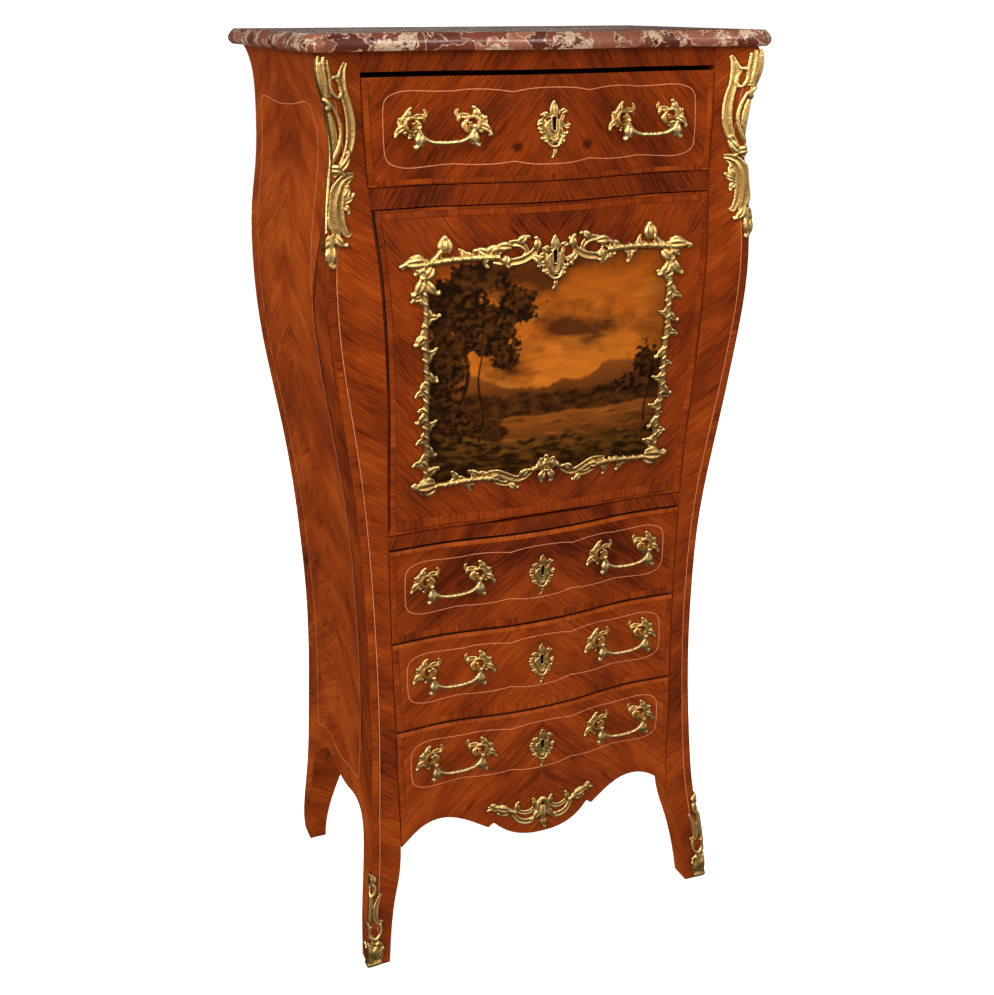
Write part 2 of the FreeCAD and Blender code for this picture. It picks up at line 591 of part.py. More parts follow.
# Handle: two leafy rosettes with drilled heads, and a bail that swings in them
def handle(x, z):
    half = HANDLE_SPACING / 2
    axis_y = min(front_y(x - half, z), front_y(x + half, z)) - BAIL_STAND
    side = 1 if x > 0 else -1
    rosettes = []
    for s in (-1, 1):
        at = x + s * half
        edge = outline(ROSETTE_SHARES, at, z, s * ROSETTE_WIDTH, ROSETTE_HEIGHT)
        plate = one(mount(edge, MOUNT_RELIEF))
        stem = Part.makeCylinder(STEM_RADIUS, BAIL_STAND + REACH, V(at, axis_y, z), V(0, 1, 0)).cut(BODY)
        head = Part.makeSphere(HEAD_RADIUS, V(at, axis_y, z))
        x0, x1 = at - HEAD_RADIUS, at + HEAD_RADIUS
        bore = Part.makeCylinder(BAIL_PIN_RADIUS + PIN_CLEARANCE, x1 - x0, V(x0, axis_y, z), V(1, 0, 0))
        stem = stem.common(box(x0, x1, axis_y, RAIL_BACK, z - HEAD_RADIUS, z + HEAD_RADIUS))
        rosettes.append(one(plate.fuse(stem).fuse(head).cut(bore)))
    pin = Part.makeCylinder(BAIL_PIN_RADIUS, HANDLE_SPACING, V(x - half, axis_y, z), V(1, 0, 0))
    reach = half - HEAD_RADIUS - BAIL_RADIUS - GUIDE_CLEARANCE
    arc = Part.Arc(V(x - reach, axis_y, z), V(x, axis_y, z - BAIL_DROP), V(x + reach, axis_y, z))
    path = Part.Wire([arc.toShape()])
    start = arc.toShape()
    first = start.FirstParameter
    ring = Part.Wire([Part.makeCircle(BAIL_RADIUS, start.valueAt(first), start.tangentAt(first))])
    bow = path.makePipeShell([ring], True, False)
    gap = box(x - reach, x + reach, axis_y - REACH, axis_y + REACH, z - REACH, z + REACH)
    ends = [Part.makeSphere(BAIL_RADIUS, V(x + s * reach, axis_y, z)) for s in (-1, 1)]
    bail = pin.cut(gap).fuse([bow] + ends)
    return rosettes, one(bail), axis_y


# One drawer: front, box pieces, lock, handles and escutcheon
def drawer(name, front, plane, floor, half, lock_at, middle, handle_at, plate_height):
    """Saves the pieces of a drawer. lock_at is the bolt's gap to its mortise and the top of the lock,
    handle_at how far the handles stand to the side of the middle and above it."""
    rail_gap, front_top = lock_at
    offset, rise = handle_at
    y1 = BACK_Y - REAR_POST_DEPTH - DRAWER_BACK_GAP
    z0 = floor + RUN_CLEARANCE
    z1 = z0 + BOX_HEIGHT
    inner = half - BOX_SIDE_THICKNESS
    pieces = []
    for s in (-1, 1):
        a, b = sorted((s * inner, s * half))
        pieces.append(box(a, b, plane, y1, z0, z1))
    pieces.append(box(-inner, inner, y1 - BOX_SIDE_THICKNESS, y1, z0, z1))
    low = z0 + BOX_BOTTOM_RAISE
    pieces.append(box(-inner, inner, plane, y1 - BOX_SIDE_THICKNESS, low, low + BOX_BOTTOM_THICKNESS))
    case, bolt, way = lock(plane, front_top, rail_gap + BOLT_ENGAGE)
    key_z = middle + KEY_RISE_SHARE * plate_height
    save(name + "_front", [one(front.cut(keyhole(key_z, plane)))])
    save(name + "_box", pieces)
    save(name + "_lock_case", [one(case.cut(keyhole(key_z, plane + LOCK_DEPTH / 2)))])
    save(name + "_lock_bolt", [bolt])
    save(name + "_escutcheon", [escutcheon(middle, plate_height)])
    rosettes = []
    for side, word in ((-1, "left"), (1, "right")):
        pair, bail, axis_y = handle(side * offset, middle + rise)
        rosettes += pair
        save(name + "_bail_" + word, [bail])
        print(name, word, "bail axis", side * offset, axis_y, middle + rise)
    save(name + "_rosettes", rosettes)
    print(name, "throw", rail_gap + BOLT_ENGAGE)
    return way


def bevelled(front, top):
    """A drawer front with its upper front edge taken off at a slant."""
    high = [e for e in front.Edges if e.BoundBox.ZMin > top - FRONT_GAP]
    long = [e for e in high if e.BoundBox.XLength > BELLY_HALF_WIDTH]
    return one(front.makeChamfer(DRAWER_EDGE_BEVEL, [min(long, key=lambda e: e.BoundBox.YMin)]))


GUIDES = []


def guides(half, floor):
    y0 = FRONT_DATUM + POST_DEPTH
    y1 = BACK_Y - REAR_POST_DEPTH
    x0 = half + GUIDE_CLEARANCE
    for s in (-1, 1):
        a, b = sorted((s * x0, s * (x0 + GUIDE_WIDTH)))
        GUIDES.append(one(INSIDE.common(box(a, b, y0, y1, floor, floor + GUIDE_HEIGHT))))


# Top drawer
top_half = opening_half(TOP_OPENING_FLOOR) - BOX_SIDE_CLEARANCE
top_edge = TOP_OPENING_TOP - TOP_DRAWER_SLOT
front = front_block(-FRONT_GAP, TOP_PLANE, TOP_OPENING_FLOOR + FRONT_GAP, top_edge)
lock_at = (TOP_DRAWER_SLOT + LOCK_SET_DOWN, top_edge)
middle = (TOP_OPENING_FLOOR + top_edge) / 2
way = drawer(
    "drawer_1", front, TOP_PLANE, TOP_OPENING_FLOOR, top_half, lock_at,
    middle, (TOP_HANDLE_OFFSET, TOP_HANDLE_RISE), TOP_ESCUTCHEON_HEIGHT,
)
TOP_RAIL = one(TOP_RAIL.cut(way))
guides(top_half, TOP_OPENING_FLOOR)

# Second and third drawers, and the bottom drawer whose front carries the apron
LOW_HANDLES = (HANDLE_OFFSET, HANDLE_RISE)
half = opening_half(BOTTOM_TOP) - BOX_SIDE_CLEARANCE
high = SECOND_TOP - FRONT_GAP
front = bevelled(front_block(-FRONT_GAP, LOWER_PLANE, THIRD_TOP + FRONT_GAP / 2, high), high)
floor = THIRD_TOP + BOARD_THICKNESS / 2
lock_at = (FRONT_GAP + LOCK_SET_DOWN, high)
middle = (SECOND_TOP + THIRD_TOP) / 2
way = drawer("drawer_2", front, LOWER_PLANE, floor, half, lock_at, middle, LOW_HANDLES, ESCUTCHEON_HEIGHT)
FALL_RAIL = one(FALL_RAIL.cut(way))
guides(half, floor)

high = THIRD_TOP - FRONT_GAP / 2
front = bevelled(front_block(-FRONT_GAP, LOWER_PLANE, BOTTOM_TOP + FRONT_GAP / 2, high), high)
floor = BOTTOM_TOP + BOARD_THICKNESS / 2
lock_at = (LOCK_SET_DOWN, THIRD_TOP - BOARD_THICKNESS / 2)
middle = (THIRD_TOP + BOTTOM_TOP) / 2
way = drawer("drawer_3", front, LOWER_PLANE, floor, half, lock_at, middle, LOW_HANDLES, ESCUTCHEON_HEIGHT)
LOWER_DUSTS[0] = one(LOWER_DUSTS[0].cut(way))
guides(half, floor)


def apron_cutter():
    """Everything below the scalloped edge of the apron."""
    y0 = FRONT_DATUM - REACH
    reach = opening_half(APRON_ARCH_HEIGHT)
    runs = [APRON_SHARES, APRON_CUSP_SHARES, APRON_ARCH_SHARES]
    lines = []
    for run in reversed(runs):
        lines.append(curve([V(-s * reach, y0, h * APRON_ARCH_HEIGHT) for s, h in reversed(run)]))
    for run in runs:
        lines.append(curve([V(s * reach, y0, h * APRON_ARCH_HEIGHT) for s, h in run]))
    end = APRON_ARCH_HEIGHT * APRON_ARCH_SHARES[-1][1]
    round_below = ((reach, end), (wide, end), (wide, 0), (-wide, 0), (-wide, end), (-reach, end))
    ring = [V(x, y0, z) for x, z in round_below]
    lines += [Part.makeLine(ring[n], ring[n + 1]) for n in range(5)]
    return solid_face(lines).extrude(V(0, BODY_DEPTH + REACH, 0))


high = BOTTOM_TOP - FRONT_GAP / 2
front = bevelled(front_block(-FRONT_GAP, LOWER_PLANE, 0, high), high)
front = one(front.cut(apron_cutter()))
lock_at = (LOCK_SET_DOWN, BOTTOM_TOP - BOARD_THICKNESS / 2)
middle = BOTTOM_TOP - THIRD_DRAWER_HEIGHT / 2
way = drawer(
    "drawer_4", front, LOWER_PLANE, BOTTOM_FLOOR, half, lock_at,
    middle, LOW_HANDLES, ESCUTCHEON_HEIGHT,
)
LOWER_DUSTS[1] = one(LOWER_DUSTS[1].cut(way))
guides(half, BOTTOM_FLOOR)

# Mount along the middle of the apron
shares = both_halves(APRON_MOUNT_HALF, APRON_MOUNT_FOOT)
middle = APRON_ARCH_HEIGHT * APRON_SHARES[0][1] + APRON_MOUNT_HEIGHT / 2 + FRAME_RELIEF
edge = outline(shares, 0, middle, 2 * APRON_MOUNT_HALF_WIDTH, APRON_MOUNT_HEIGHT)
save("apron_mount", [one(mount(edge, MOUNT_RELIEF))])

# Fall: shaped outside, flat inside, with a rounded lower edge about the pivots
fall = front_block(-FRONT_GAP, FALL_BACK, FALL_BOTTOM, FALL_TOP - FALL_TOP_GAP)
lower = box(-wide, wide, FRONT_DATUM - REACH, BACK_Y, 0, PIVOT_Z)
fall = one(fall.cut(lower.cut(swing(SWING_RADIUS))))
pins = []
for s in (-1, 1):
    at = opening_half(PIVOT_Z)
    start = V(s * at - PIN_LENGTH / 2, PIVOT_Y, PIVOT_Z)
    pins.append(Part.makeCylinder(PIN_RADIUS, PIN_LENGTH, start, V(1, 0, 0)))
    bore = Part.makeCylinder(PIN_RADIUS + PIN_CLEARANCE, PIN_LENGTH, start, V(1, 0, 0))
    fall = fall.cut(bore)
FRONT_LEFT = one(FRONT_LEFT.cut(pins[0]))
FRONT_RIGHT = one(FRONT_RIGHT.cut(pins[1]))

# Picture panel let into the outside, leather let into the inside
front = FRONT_DATUM - REACH
picture = box(-PICTURE_HALF_WIDTH, PICTURE_HALF_WIDTH, front, FALL_BACK, PICTURE_BOTTOM, PICTURE_TOP)
picture = one(picture.common(BODY).cut(moved(BODY, 0, PICTURE_THICKNESS, 0)))
leather_half = opening_half(PIVOT_Z) - LEATHER_MARGIN
low = PIVOT_Z + LEATHER_MARGIN
high = FALL_TOP - LOCK_HEIGHT - LEATHER_MARGIN
leather = box(-leather_half, leather_half, FALL_BACK - LEATHER_THICKNESS, FALL_BACK, low, high)
fall = one(fall.cut(picture).cut(leather))

# Gilt frame round the picture, with leafy corners, and the keyhole mount at its head
frame_width = 2 * (PICTURE_HALF_WIDTH + FRAME_WIDTH - FRAME_OVERLAP)
frame_height = PICTURE_TOP - PICTURE_BOTTOM + FRAME_WIDTH
picture_middle = (PICTURE_TOP + PICTURE_BOTTOM) / 2
edge = outline(both_halves(FRAME_HALF, FRAME_FOOT), 0, picture_middle, frame_width, frame_height)
sight = PICTURE_HALF_WIDTH - FRAME_OVERLAP
plate_z = PICTURE_TOP - FRAME_OVERLAP
hole = box(-sight, sight, front, FALL_BACK, PICTURE_BOTTOM + FRAME_OVERLAP, plate_z)
frame = mount(edge, FRAME_RELIEF).cut(hole)
plate_width = TOP_ESCUTCHEON_HEIGHT * ESCUTCHEON_WIDTH_SHARE
edge = outline(ESCUTCHEON_SHARES, 0, plate_z, plate_width, TOP_ESCUTCHEON_HEIGHT)
plate = mount(edge, FRAME_RELIEF + PICTURE_THICKNESS)
key_z = plate_z + KEY_RISE_SHARE * TOP_ESCUTCHEON_HEIGHT
plate = one(plate.cut(keyhole(key_z, FALL_BACK)))
frame = one(frame.cut(plate))
fall = one(fall.cut(keyhole(key_z, FALL_BACK)))
picture = one(picture.cut(keyhole(key_z, FALL_BACK)))

# Lock of the fall, level with its upper edge; the case reaches down to the keyhole
fall_edge = FALL_TOP - FALL_TOP_GAP
case, bolt, way = lock(FALL_BACK, fall_edge, FALL_TOP_GAP + LOCK_SET_DOWN + BOLT_ENGAGE)
half = LOCK_WIDTH / 2
low = key_z - 2 * KEYHOLE_DROP
skirt = box(-half, half, FALL_BACK, FALL_BACK + LOCK_DEPTH, low, fall_edge - LOCK_SET_DOWN - LOCK_HEIGHT)
case = one(case.fuse(skirt).removeSplitter().cut(keyhole(key_z, FALL_BACK + LOCK_DEPTH / 2)))
fall = one(fall.cut(case))
UPPER_RAIL = one(UPPER_RAIL.cut(way))
print("fall throw", FALL_TOP_GAP + LOCK_SET_DOWN + BOLT_ENGAGE, "pivot", PIVOT_Y, PIVOT_Z)
if leather.BoundBox.ZMax > case.BoundBox.ZMin:
    notch = box(-half, half, FALL_BACK - LOCK_DEPTH, FALL_BACK, case.BoundBox.ZMin, FALL_TOP)
    leather = one(leather.cut(case).cut(notch))
leather = one(leather.cut(keyhole(key_z, FALL_BACK)))


# Quadrant stays on the fall, and the keepers on the linings that they run through
def ring_sector(inner, outer, x0, x1, start, end):
    """Part of a flat ring about the pivots; angles run from the back upwards."""
    y0, y1 = PIVOT_Y + inner, PIVOT_Y + outer
    corners = [V(x0, y0, PIVOT_Z), V(x1, y0, PIVOT_Z), V(x1, y1, PIVOT_Z), V(x0, y1, PIVOT_Z)]
    face = Part.Face(Part.makePolygon(corners + [corners[0]]))
    face.rotate(V(0, PIVOT_Y, PIVOT_Z), V(1, 0, 0), start)
    return face.revolve(V(0, PIVOT_Y, PIVOT_Z), V(1, 0, 0), end - start)


bar_x = (NEST_HALF_WIDTH + LINING_HALF_WIDTH) / 2
inner = QUADRANT_RADIUS - QUADRANT_BAR / 2
outer = QUADRANT_RADIUS + QUADRANT_BAR / 2
bar0 = bar_x - QUADRANT_THICKNESS / 2
bar1 = bar_x + QUADRANT_THICKNESS / 2
bar = ring_sector(inner, outer, bar0, bar1, QUADRANT_START, QUADRANT_END + QUADRANT_OVERRUN)
foot0, foot1 = bar0 - KEEPER_MARGIN / 2, bar1 + KEEPER_MARGIN / 2
bar = one(bar.cut(box(foot0, foot1, front, FALL_BACK, 0, CARCASE_HEIGHT)))
keeper_z = PIVOT_Z + QUADRANT_RADIUS
low = keeper_z - QUADRANT_FOOT / 2
foot = box(foot0, foot1, FALL_BACK, FALL_BACK + QUADRANT_FOOT_THICKNESS, low, low + QUADRANT_FOOT)
tail = FreeCAD.Rotation(V(1, 0, 0), QUADRANT_START).multVec(V(0, QUADRANT_RADIUS, 0))
tail += V(bar0, PIVOT_Y, PIVOT_Z)
stop = Part.makeCylinder(STOP_RADIUS, QUADRANT_THICKNESS, tail, V(1, 0, 0))
stay = one(bar.fuse([foot, stop]))
STAYS = [stay, mirrored(stay)]
keeper_y = FALL_BACK + 2 * QUADRANT_FOOT_THICKNESS
c = QUADRANT_CLEARANCE
rise = QUADRANT_BAR + KEEPER_MARGIN
keeper = box(foot0, LINING_HALF_WIDTH, keeper_y, keeper_y + KEEPER_DEPTH, keeper_z - rise, keeper_z + rise)
channel = ring_sector(inner - c, outer + c, bar0 - c, bar1 + c, QUADRANT_END / 2, QUADRANT_END + REACH / 2)
keeper = one(keeper.cut(channel))
far = PIVOT_Y + QUADRANT_RADIUS + rise
near = PIVOT_Y + QUADRANT_RADIUS - rise - KEEPER_MARGIN
slot = box(bar0 - 2 * c, bar1 + 2 * c, near, far, 0, CARCASE_HEIGHT)
FLOOR = one(FLOOR.cut(slot).cut(mirrored(slot)))

save("fall_board", [fall])
save("fall_leather", [leather])
save("fall_picture", [picture])
save("fall_frame", [frame, plate])
save("fall_lock_case", [case])
save("fall_lock_bolt", [bolt])
save("fall_stays", STAYS)
save("fall_fittings", pins + [keeper, mirrored(keeper)])


# Corner mounts on the upper arrises and sabots on the front feet
def wrapped(points, z_wide, z_tip, relief, wrap):
    """A shell over the left front arris inside an outline seen from the front, narrowing to its tip."""
    prism = solid_face([Part.Wire(points)]).extrude(V(0, 2 * REACH, 0))
    shell = moved(BODY, -relief, -relief, 0).common(prism)
    front = FRONT_DATUM - REACH
    ring = [
        V(-wide, front, z_wide),
        V(-wide, corner_y(z_wide) + wrap, z_wide),
        V(-wide, corner_y(z_tip) + MOUNT_TIP_WRAP, z_tip),
        V(-wide, front, z_tip),
    ]
    side = Part.Face(Part.makePolygon(ring + [ring[0]])).extrude(V(wide, 0, 0))
    return one(shell.common(side).cut(BODY))


def arris_ring(points, top):
    """The outline of a mount seen from the front: its inner edge, closed round outside the arris."""
    far = [V(-wide, front, points[-1].z), V(-wide, front, top)]
    ring = [points[-1], far[0], far[1], points[0]]
    return [curve(points)] + [Part.makeLine(ring[n], ring[n + 1]) for n in range(3)]


top_z = CARCASE_HEIGHT - FRONT_GAP
points = []
for h, w in CORNER_SHARES:
    z = top_z - h * CORNER_MOUNT_LENGTH
    points.append(V(-corner_half(z) + w * CORNER_MOUNT_WIDTH, front, z))
ring = arris_ring(points, points[0].z)
corner = wrapped(ring, top_z, top_z - CORNER_MOUNT_LENGTH, CORNER_MOUNT_RELIEF, CORNER_MOUNT_WRAP)
save("corner_mounts", [corner, mirrored(corner)])

foot_width = corner_half(0) - opening_half(0)
points = []
for h, w in SABOT_SHARES:
    z = h * SABOT_HEIGHT
    points.append(V(-corner_half(z) + w * foot_width, front, z))
ring = arris_ring(points, 0)
sabot = wrapped(ring, 0, SABOT_HEIGHT, SABOT_RELIEF, SABOT_WRAP)
save("sabots", [sabot, mirrored(sabot)])


# Marble slab: outline follows the serpentine front, with a moulded edge
def marble_section(share, cut):
    z = CARCASE_HEIGHT + share * MARBLE_THICKNESS
    set_in = cut * MARBLE_MOULDING
    half = corner_half(CARCASE_HEIGHT) + MARBLE_SIDE_OVERHANG - set_in
    radius = MARBLE_CORNER_RADIUS - set_in
    front = corner_y(CARCASE_HEIGHT) - MARBLE_FRONT_OVERHANG + set_in
    turn = half - radius
    reach = opening_half(CARCASE_HEIGHT)
    overhang = MARBLE_FRONT_OVERHANG - set_in
    run = [(reach * t, front_y(reach * t, CARCASE_HEIGHT) - overhang) for t, s in SERPENTINE_SHARES]
    run.append((turn, front))
    points = [V(-x, y, z) for x, y in reversed(run[1:])] + [V(x, y, z) for x, y in run]
    steps = [t for t, s in SERPENTINE_SHARES] + [1.0 + CORNER_TURN_SHARE / 2]
    edge = curve(points, [-t for t in reversed(steps[1:])] + steps)
    middle = front + radius
    bend = radius * 0.5 ** 0.5
    right = Part.Arc(V(turn, front, z), V(turn + bend, middle - bend, z), V(half, middle, z)).toShape()
    left = Part.Arc(V(-half, middle, z), V(-turn - bend, middle - bend, z), V(-turn, front, z)).toShape()
    ring = [V(half, middle, z), V(half, BACK_Y, z), V(-half, BACK_Y, z), V(-half, middle, z)]
    return Part.Wire([edge, right] + [Part.makeLine(ring[n], ring[n + 1]) for n in range(3)] + [left])


save("marble_top", [Part.makeLoft([marble_section(t, s) for t, s in MARBLE_EDGE_SHARES], True, False)])

# Carcase pieces
save("top_board", [TOP_BOARD])
save("left_side", [LEFT_SIDE])
save("right_side", [mirrored(LEFT_SIDE)])
save("front_left_post", [FRONT_LEFT])
save("front_right_post", [FRONT_RIGHT])
save("rear_posts", [REAR_LEFT, REAR_RIGHT])
save("back_panel", [BACK])
save("front_rails", [TOP_RAIL, UPPER_RAIL, FALL_RAIL])
save("dust_boards", [TOP_DUST, SECOND_DUST] + LOWER_DUSTS)
save("writing_floor", [FLOOR])
save("bottom_board", [BOTTOM])
save("drawer_guides", GUIDES)
save("compartment_linings", LININGS)
save("letter_nest", NEST)
save("letter_drawer_left", letter_drawer(-1))
save("letter_drawer_right", letter_drawer(1))
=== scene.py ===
import bmesh
import bpy
import math
import mathutils.noise
import numpy
from mathutils import Matrix, Vector
from mathutils.bvhtree import BVHTree


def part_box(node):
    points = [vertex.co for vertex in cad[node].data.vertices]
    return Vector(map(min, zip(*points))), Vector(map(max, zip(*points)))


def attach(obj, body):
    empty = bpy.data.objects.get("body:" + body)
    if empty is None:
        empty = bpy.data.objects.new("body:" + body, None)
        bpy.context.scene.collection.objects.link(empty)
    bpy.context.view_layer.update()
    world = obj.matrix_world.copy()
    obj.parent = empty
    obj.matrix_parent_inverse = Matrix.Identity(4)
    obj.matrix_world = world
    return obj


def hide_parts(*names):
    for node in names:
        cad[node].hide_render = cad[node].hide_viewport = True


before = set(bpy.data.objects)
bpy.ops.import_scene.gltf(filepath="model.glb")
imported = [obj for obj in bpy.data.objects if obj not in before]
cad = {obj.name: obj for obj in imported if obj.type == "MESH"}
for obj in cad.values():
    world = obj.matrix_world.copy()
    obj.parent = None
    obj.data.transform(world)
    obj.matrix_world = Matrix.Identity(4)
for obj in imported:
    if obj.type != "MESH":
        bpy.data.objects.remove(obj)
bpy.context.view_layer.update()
scene = bpy.context.scene

# Studio
# A pale seamless floor, three soft boxes and a grey room round them. The camera stands where the
# photographer stood: a little above the marble, turned towards the left side of the piece.
LENS, SENSOR = 48.97, 36
STAND = (-0.8288, -1.9263, 1.4603)
LOOK_DOWN, LOOK_RIGHT = 20.14, 23.32
camera = bpy.data.objects.new("camera", bpy.data.cameras.new("camera"))
camera.data.lens = LENS
camera.data.sensor_width = SENSOR
camera.location = STAND
camera.rotation_euler = (math.radians(90 - LOOK_DOWN), 0, math.radians(-LOOK_RIGHT))
scene.collection.objects.link(camera)
scene.camera = camera
scene.view_settings.view_transform = "Standard"


def wire(tree, kind, inputs=None, **settings):
    """One shader node: settings are its own options, inputs are values or sockets to link."""
    made = tree.nodes.new(kind if kind.startswith("NodeGroup") else "ShaderNode" + kind)
    for key, value in settings.items():
        setattr(made, key, value)
    for key, value in (inputs or {}).items():
        if isinstance(value, bpy.types.NodeSocket):
            tree.links.new(value, made.inputs[key])
        else:
            made.inputs[key].default_value = value
    return made


def finish(name, **constants):
    """A material with one Principled shader, its constant sockets set by name."""
    made = bpy.data.materials.new(name)
    made.use_nodes = True
    shader = made.node_tree.nodes["Principled BSDF"]
    for key, value in constants.items():
        shader.inputs[key.replace("_", " ")].default_value = value
    return made, made.node_tree, shader


ROOM_TINT = (1.0, 0.98, 0.95, 1)
ROOM_LIGHT = 0.36
world = bpy.data.worlds.new("room")
world.use_nodes = True
scene.world = world
tree = world.node_tree
backdrop = tree.nodes["Background"].inputs
backdrop["Color"].default_value = ROOM_TINT
ray = wire(tree, "LightPath").outputs
sky = wire(tree, "TexCoord").outputs["Generated"]
ways = wire(tree, "SeparateXYZ", {0: sky}).outputs
to_front = {"Value": ways["Y"], "From Min": -0.7, "From Max": 0.1, "To Min": 1.0, "To Max": 0.08}
upwards = {"Value": ways["Z"], "From Min": -0.50, "From Max": 0.45, "To Min": 0.10, "To Max": 0.95}
fades = [wire(tree, "MapRange", fade).outputs[0] for fade in (to_front, upwards)]
mirrored_room = wire(tree, "Math", {0: fades[0], 1: fades[1]}, operation="MULTIPLY").outputs[0]
strength = wire(tree, "Mix", {0: ray["Is Glossy Ray"], 2: ROOM_LIGHT, 3: mirrored_room}).outputs[0]
seen = wire(tree, "Math", {0: strength, 1: ray["Is Camera Ray"]}, operation="ADD")
tree.links.new(seen.outputs[0], backdrop["Strength"])

SOFT_BOXES = (
    ("key_light", (-3.2, -1.9, 2.8), (0, 0, 0.9), 1.8, 140, (1.0, 0.95, 0.88)),
    ("fill_light", (0.7, -3.0, 3.2), (0, 0, 0.8), 2.0, 66, (1.0, 0.96, 0.92)),
    ("rim_light", (0.6, 2.6, 3.2), (0, 0, 0.9), 2.0, 50, (1.0, 0.98, 0.95)),
)
for name, place, aim, size, power, colour in SOFT_BOXES:
    lamp = bpy.data.lights.new(name, "AREA")
    lamp.shape = "SQUARE"
    lamp.size = size
    lamp.energy = power
    lamp.color = colour
    stand = bpy.data.objects.new(name, lamp)
    stand.location = place
    stand.rotation_euler = (Vector(aim) - Vector(place)).to_track_quat("-Z", "Y").to_euler()
    scene.collection.objects.link(stand)

FLOOR_REACH = 80
FLOOR_GLOW, FLOOR_SEEN = 0.22, 0.74
floor_shape = bmesh.new()
bmesh.ops.create_grid(floor_shape, x_segments=2, y_segments=2, size=FLOOR_REACH)
floor_mesh = bpy.data.meshes.new("floor")
floor_shape.to_mesh(floor_mesh)
floor_shape.free()
floor = bpy.data.objects.new("floor", floor_mesh)
floor.visible_glossy = False
floor_paper, tree, shader = finish("floor_paper", Roughness=0.9)
shader.inputs["Base Color"].default_value = (0.86, 0.86, 0.86, 1)
shader.inputs["Emission Color"].default_value = (1, 1, 1, 1)
seen = wire(tree, "LightPath").outputs["Is Camera Ray"]
glow = wire(tree, "MapRange", {"Value": seen, "To Min": FLOOR_GLOW, "To Max": FLOOR_SEEN}).outputs[0]
tree.links.new(glow, shader.inputs["Emission Strength"])
floor_mesh.materials.append(floor_paper)
scene.collection.objects.link(floor)


def dress(material, *names):
    """Gives CAD pieces this finish."""
    for name in names:
        for holder in cad[name].material_slots:
            holder.material = material


# Carcase veneer
# Kingwood sheets on oak, laid with slanting grain and book-matched, then French polished.
# The grain group takes a place with X along the grain and gives the colour, gloss and pores.
DARK_STREAK = (0.030, 0.0040, 0.0010, 1)
RED_BROWN = (0.120, 0.0165, 0.0018, 1)
WARM_BROWN = (0.215, 0.0325, 0.0024, 1)
PALE_STREAK = (0.340, 0.0650, 0.0058, 1)


def vector(tree, operation, first, second):
    """Vector arithmetic on two places."""
    return wire(tree, "VectorMath", {0: first, 1: second}, operation=operation).outputs[0]


def maths(tree, operation, *terms):
    """Arithmetic on values."""
    return wire(tree, "Math", dict(enumerate(terms)), operation=operation).outputs[0]


def sums(tree, *terms):
    """Adds up value times weight for each pair."""
    total = 0.0
    for value, weight in terms:
        total = maths(tree, "MULTIPLY_ADD", value, weight, total)
    return total


def mix(tree, factor, first, second):
    """Goes from the first colour to the second."""
    return wire(tree, "Mix", {0: factor, 6: first, 7: second}, data_type="RGBA").outputs[2]


def noise(tree, place, scale, detail=2.0, rough=0.5):
    """Noise with this many changes to the metre along each axis."""
    spread = vector(tree, "MULTIPLY", place, scale)
    settings = {"Vector": spread, "Scale": 1.0, "Detail": detail, "Roughness": rough}
    return wire(tree, "TexNoise", settings).outputs


def between(tree, value, low, high, top=1.0):
    """Rises from 0 at low to top at high, and stays there."""
    ends = {"Value": value, "From Min": low, "From Max": high, "To Max": top}
    return wire(tree, "MapRange", ends).outputs[0]


def warped(tree, place, scale, detail, rough, amount):
    """A place pushed about by noise, this far along each axis."""
    push = vector(tree, "SUBTRACT", noise(tree, place, scale, detail, rough)["Color"], (0.5, 0.5, 0.5))
    return vector(tree, "ADD", place, vector(tree, "MULTIPLY", push, amount))


def shades(tree, value, *stops):
    """Colours at places along a value."""
    made = wire(tree, "ValToRGB", {"Fac": value})
    ramp = made.color_ramp
    ramp.elements[0].position, ramp.elements[0].color = stops[0]
    ramp.elements[1].position, ramp.elements[1].color = stops[-1]
    for position, colour in stops[1:-1]:
        ramp.elements.new(position).color = colour
    return made.outputs[0]


def own_place(tree):
    """Places in the piece's own frame."""
    return wire(tree, "TexCoord").outputs["Object"]


def spot(tree, x=0.0, y=0.0, z=0.0):
    """A place from its X, Y and Z."""
    return wire(tree, "CombineXYZ", {0: x, 1: y, 2: z}).outputs[0]


def axes(tree, place):
    """The X, Y and Z of a place."""
    return wire(tree, "SeparateXYZ", {0: place}).outputs


def polish(tree, shader, colour, rough=None, relief=None, strength=0.0, depth=0.0):
    """Links a finish's colour and, where they are given, its roughness and the fine relief on it."""
    tree.links.new(colour, shader.inputs["Base Color"])
    if rough is not None:
        tree.links.new(rough, shader.inputs["Roughness"])
    if relief is not None:
        bump = wire(tree, "Bump", {"Height": relief, "Strength": strength, "Distance": depth})
        tree.links.new(bump.outputs[0], shader.inputs["Normal"])


GRAIN_SOCKETS = (("Place", "INPUT", "Vector"), ("Tone", "INPUT", "Float"), ("Colour", "OUTPUT", "Color"),
                 ("Gloss", "OUTPUT", "Float"), ("Pores", "OUTPUT", "Float"))
grain = bpy.data.node_groups.new("kingwood_grain", "ShaderNodeTree")
for label, way, kind in GRAIN_SOCKETS:
    grain.interface.new_socket(label, in_out=way, socket_type="NodeSocket" + kind)
given = wire(grain, "NodeGroupInput").outputs
waved = warped(grain, given["Place"], (8, 16, 8), 3, 0.6, (0.0, 0.021, 0.0))
fine = noise(grain, waved, (34, 760, 120), 3, 0.6)[0]
lines = noise(grain, waved, (14, 300, 60), 4, 0.62)[0]
broad = noise(grain, waved, (7, 24, 12), 4, 0.60)[0]
cloud = noise(grain, given["Place"], (13, 22, 13), 3, 0.5)[0]
sheets = noise(grain, given["Place"], (3.2, 5.5, 3.2), 2, 0.5)[0]
veins = noise(grain, waved, (17, 290, 60), 3, 0.55)[0]
pores = noise(grain, waved, (60, 1500, 300), 1, 0.5)[0]
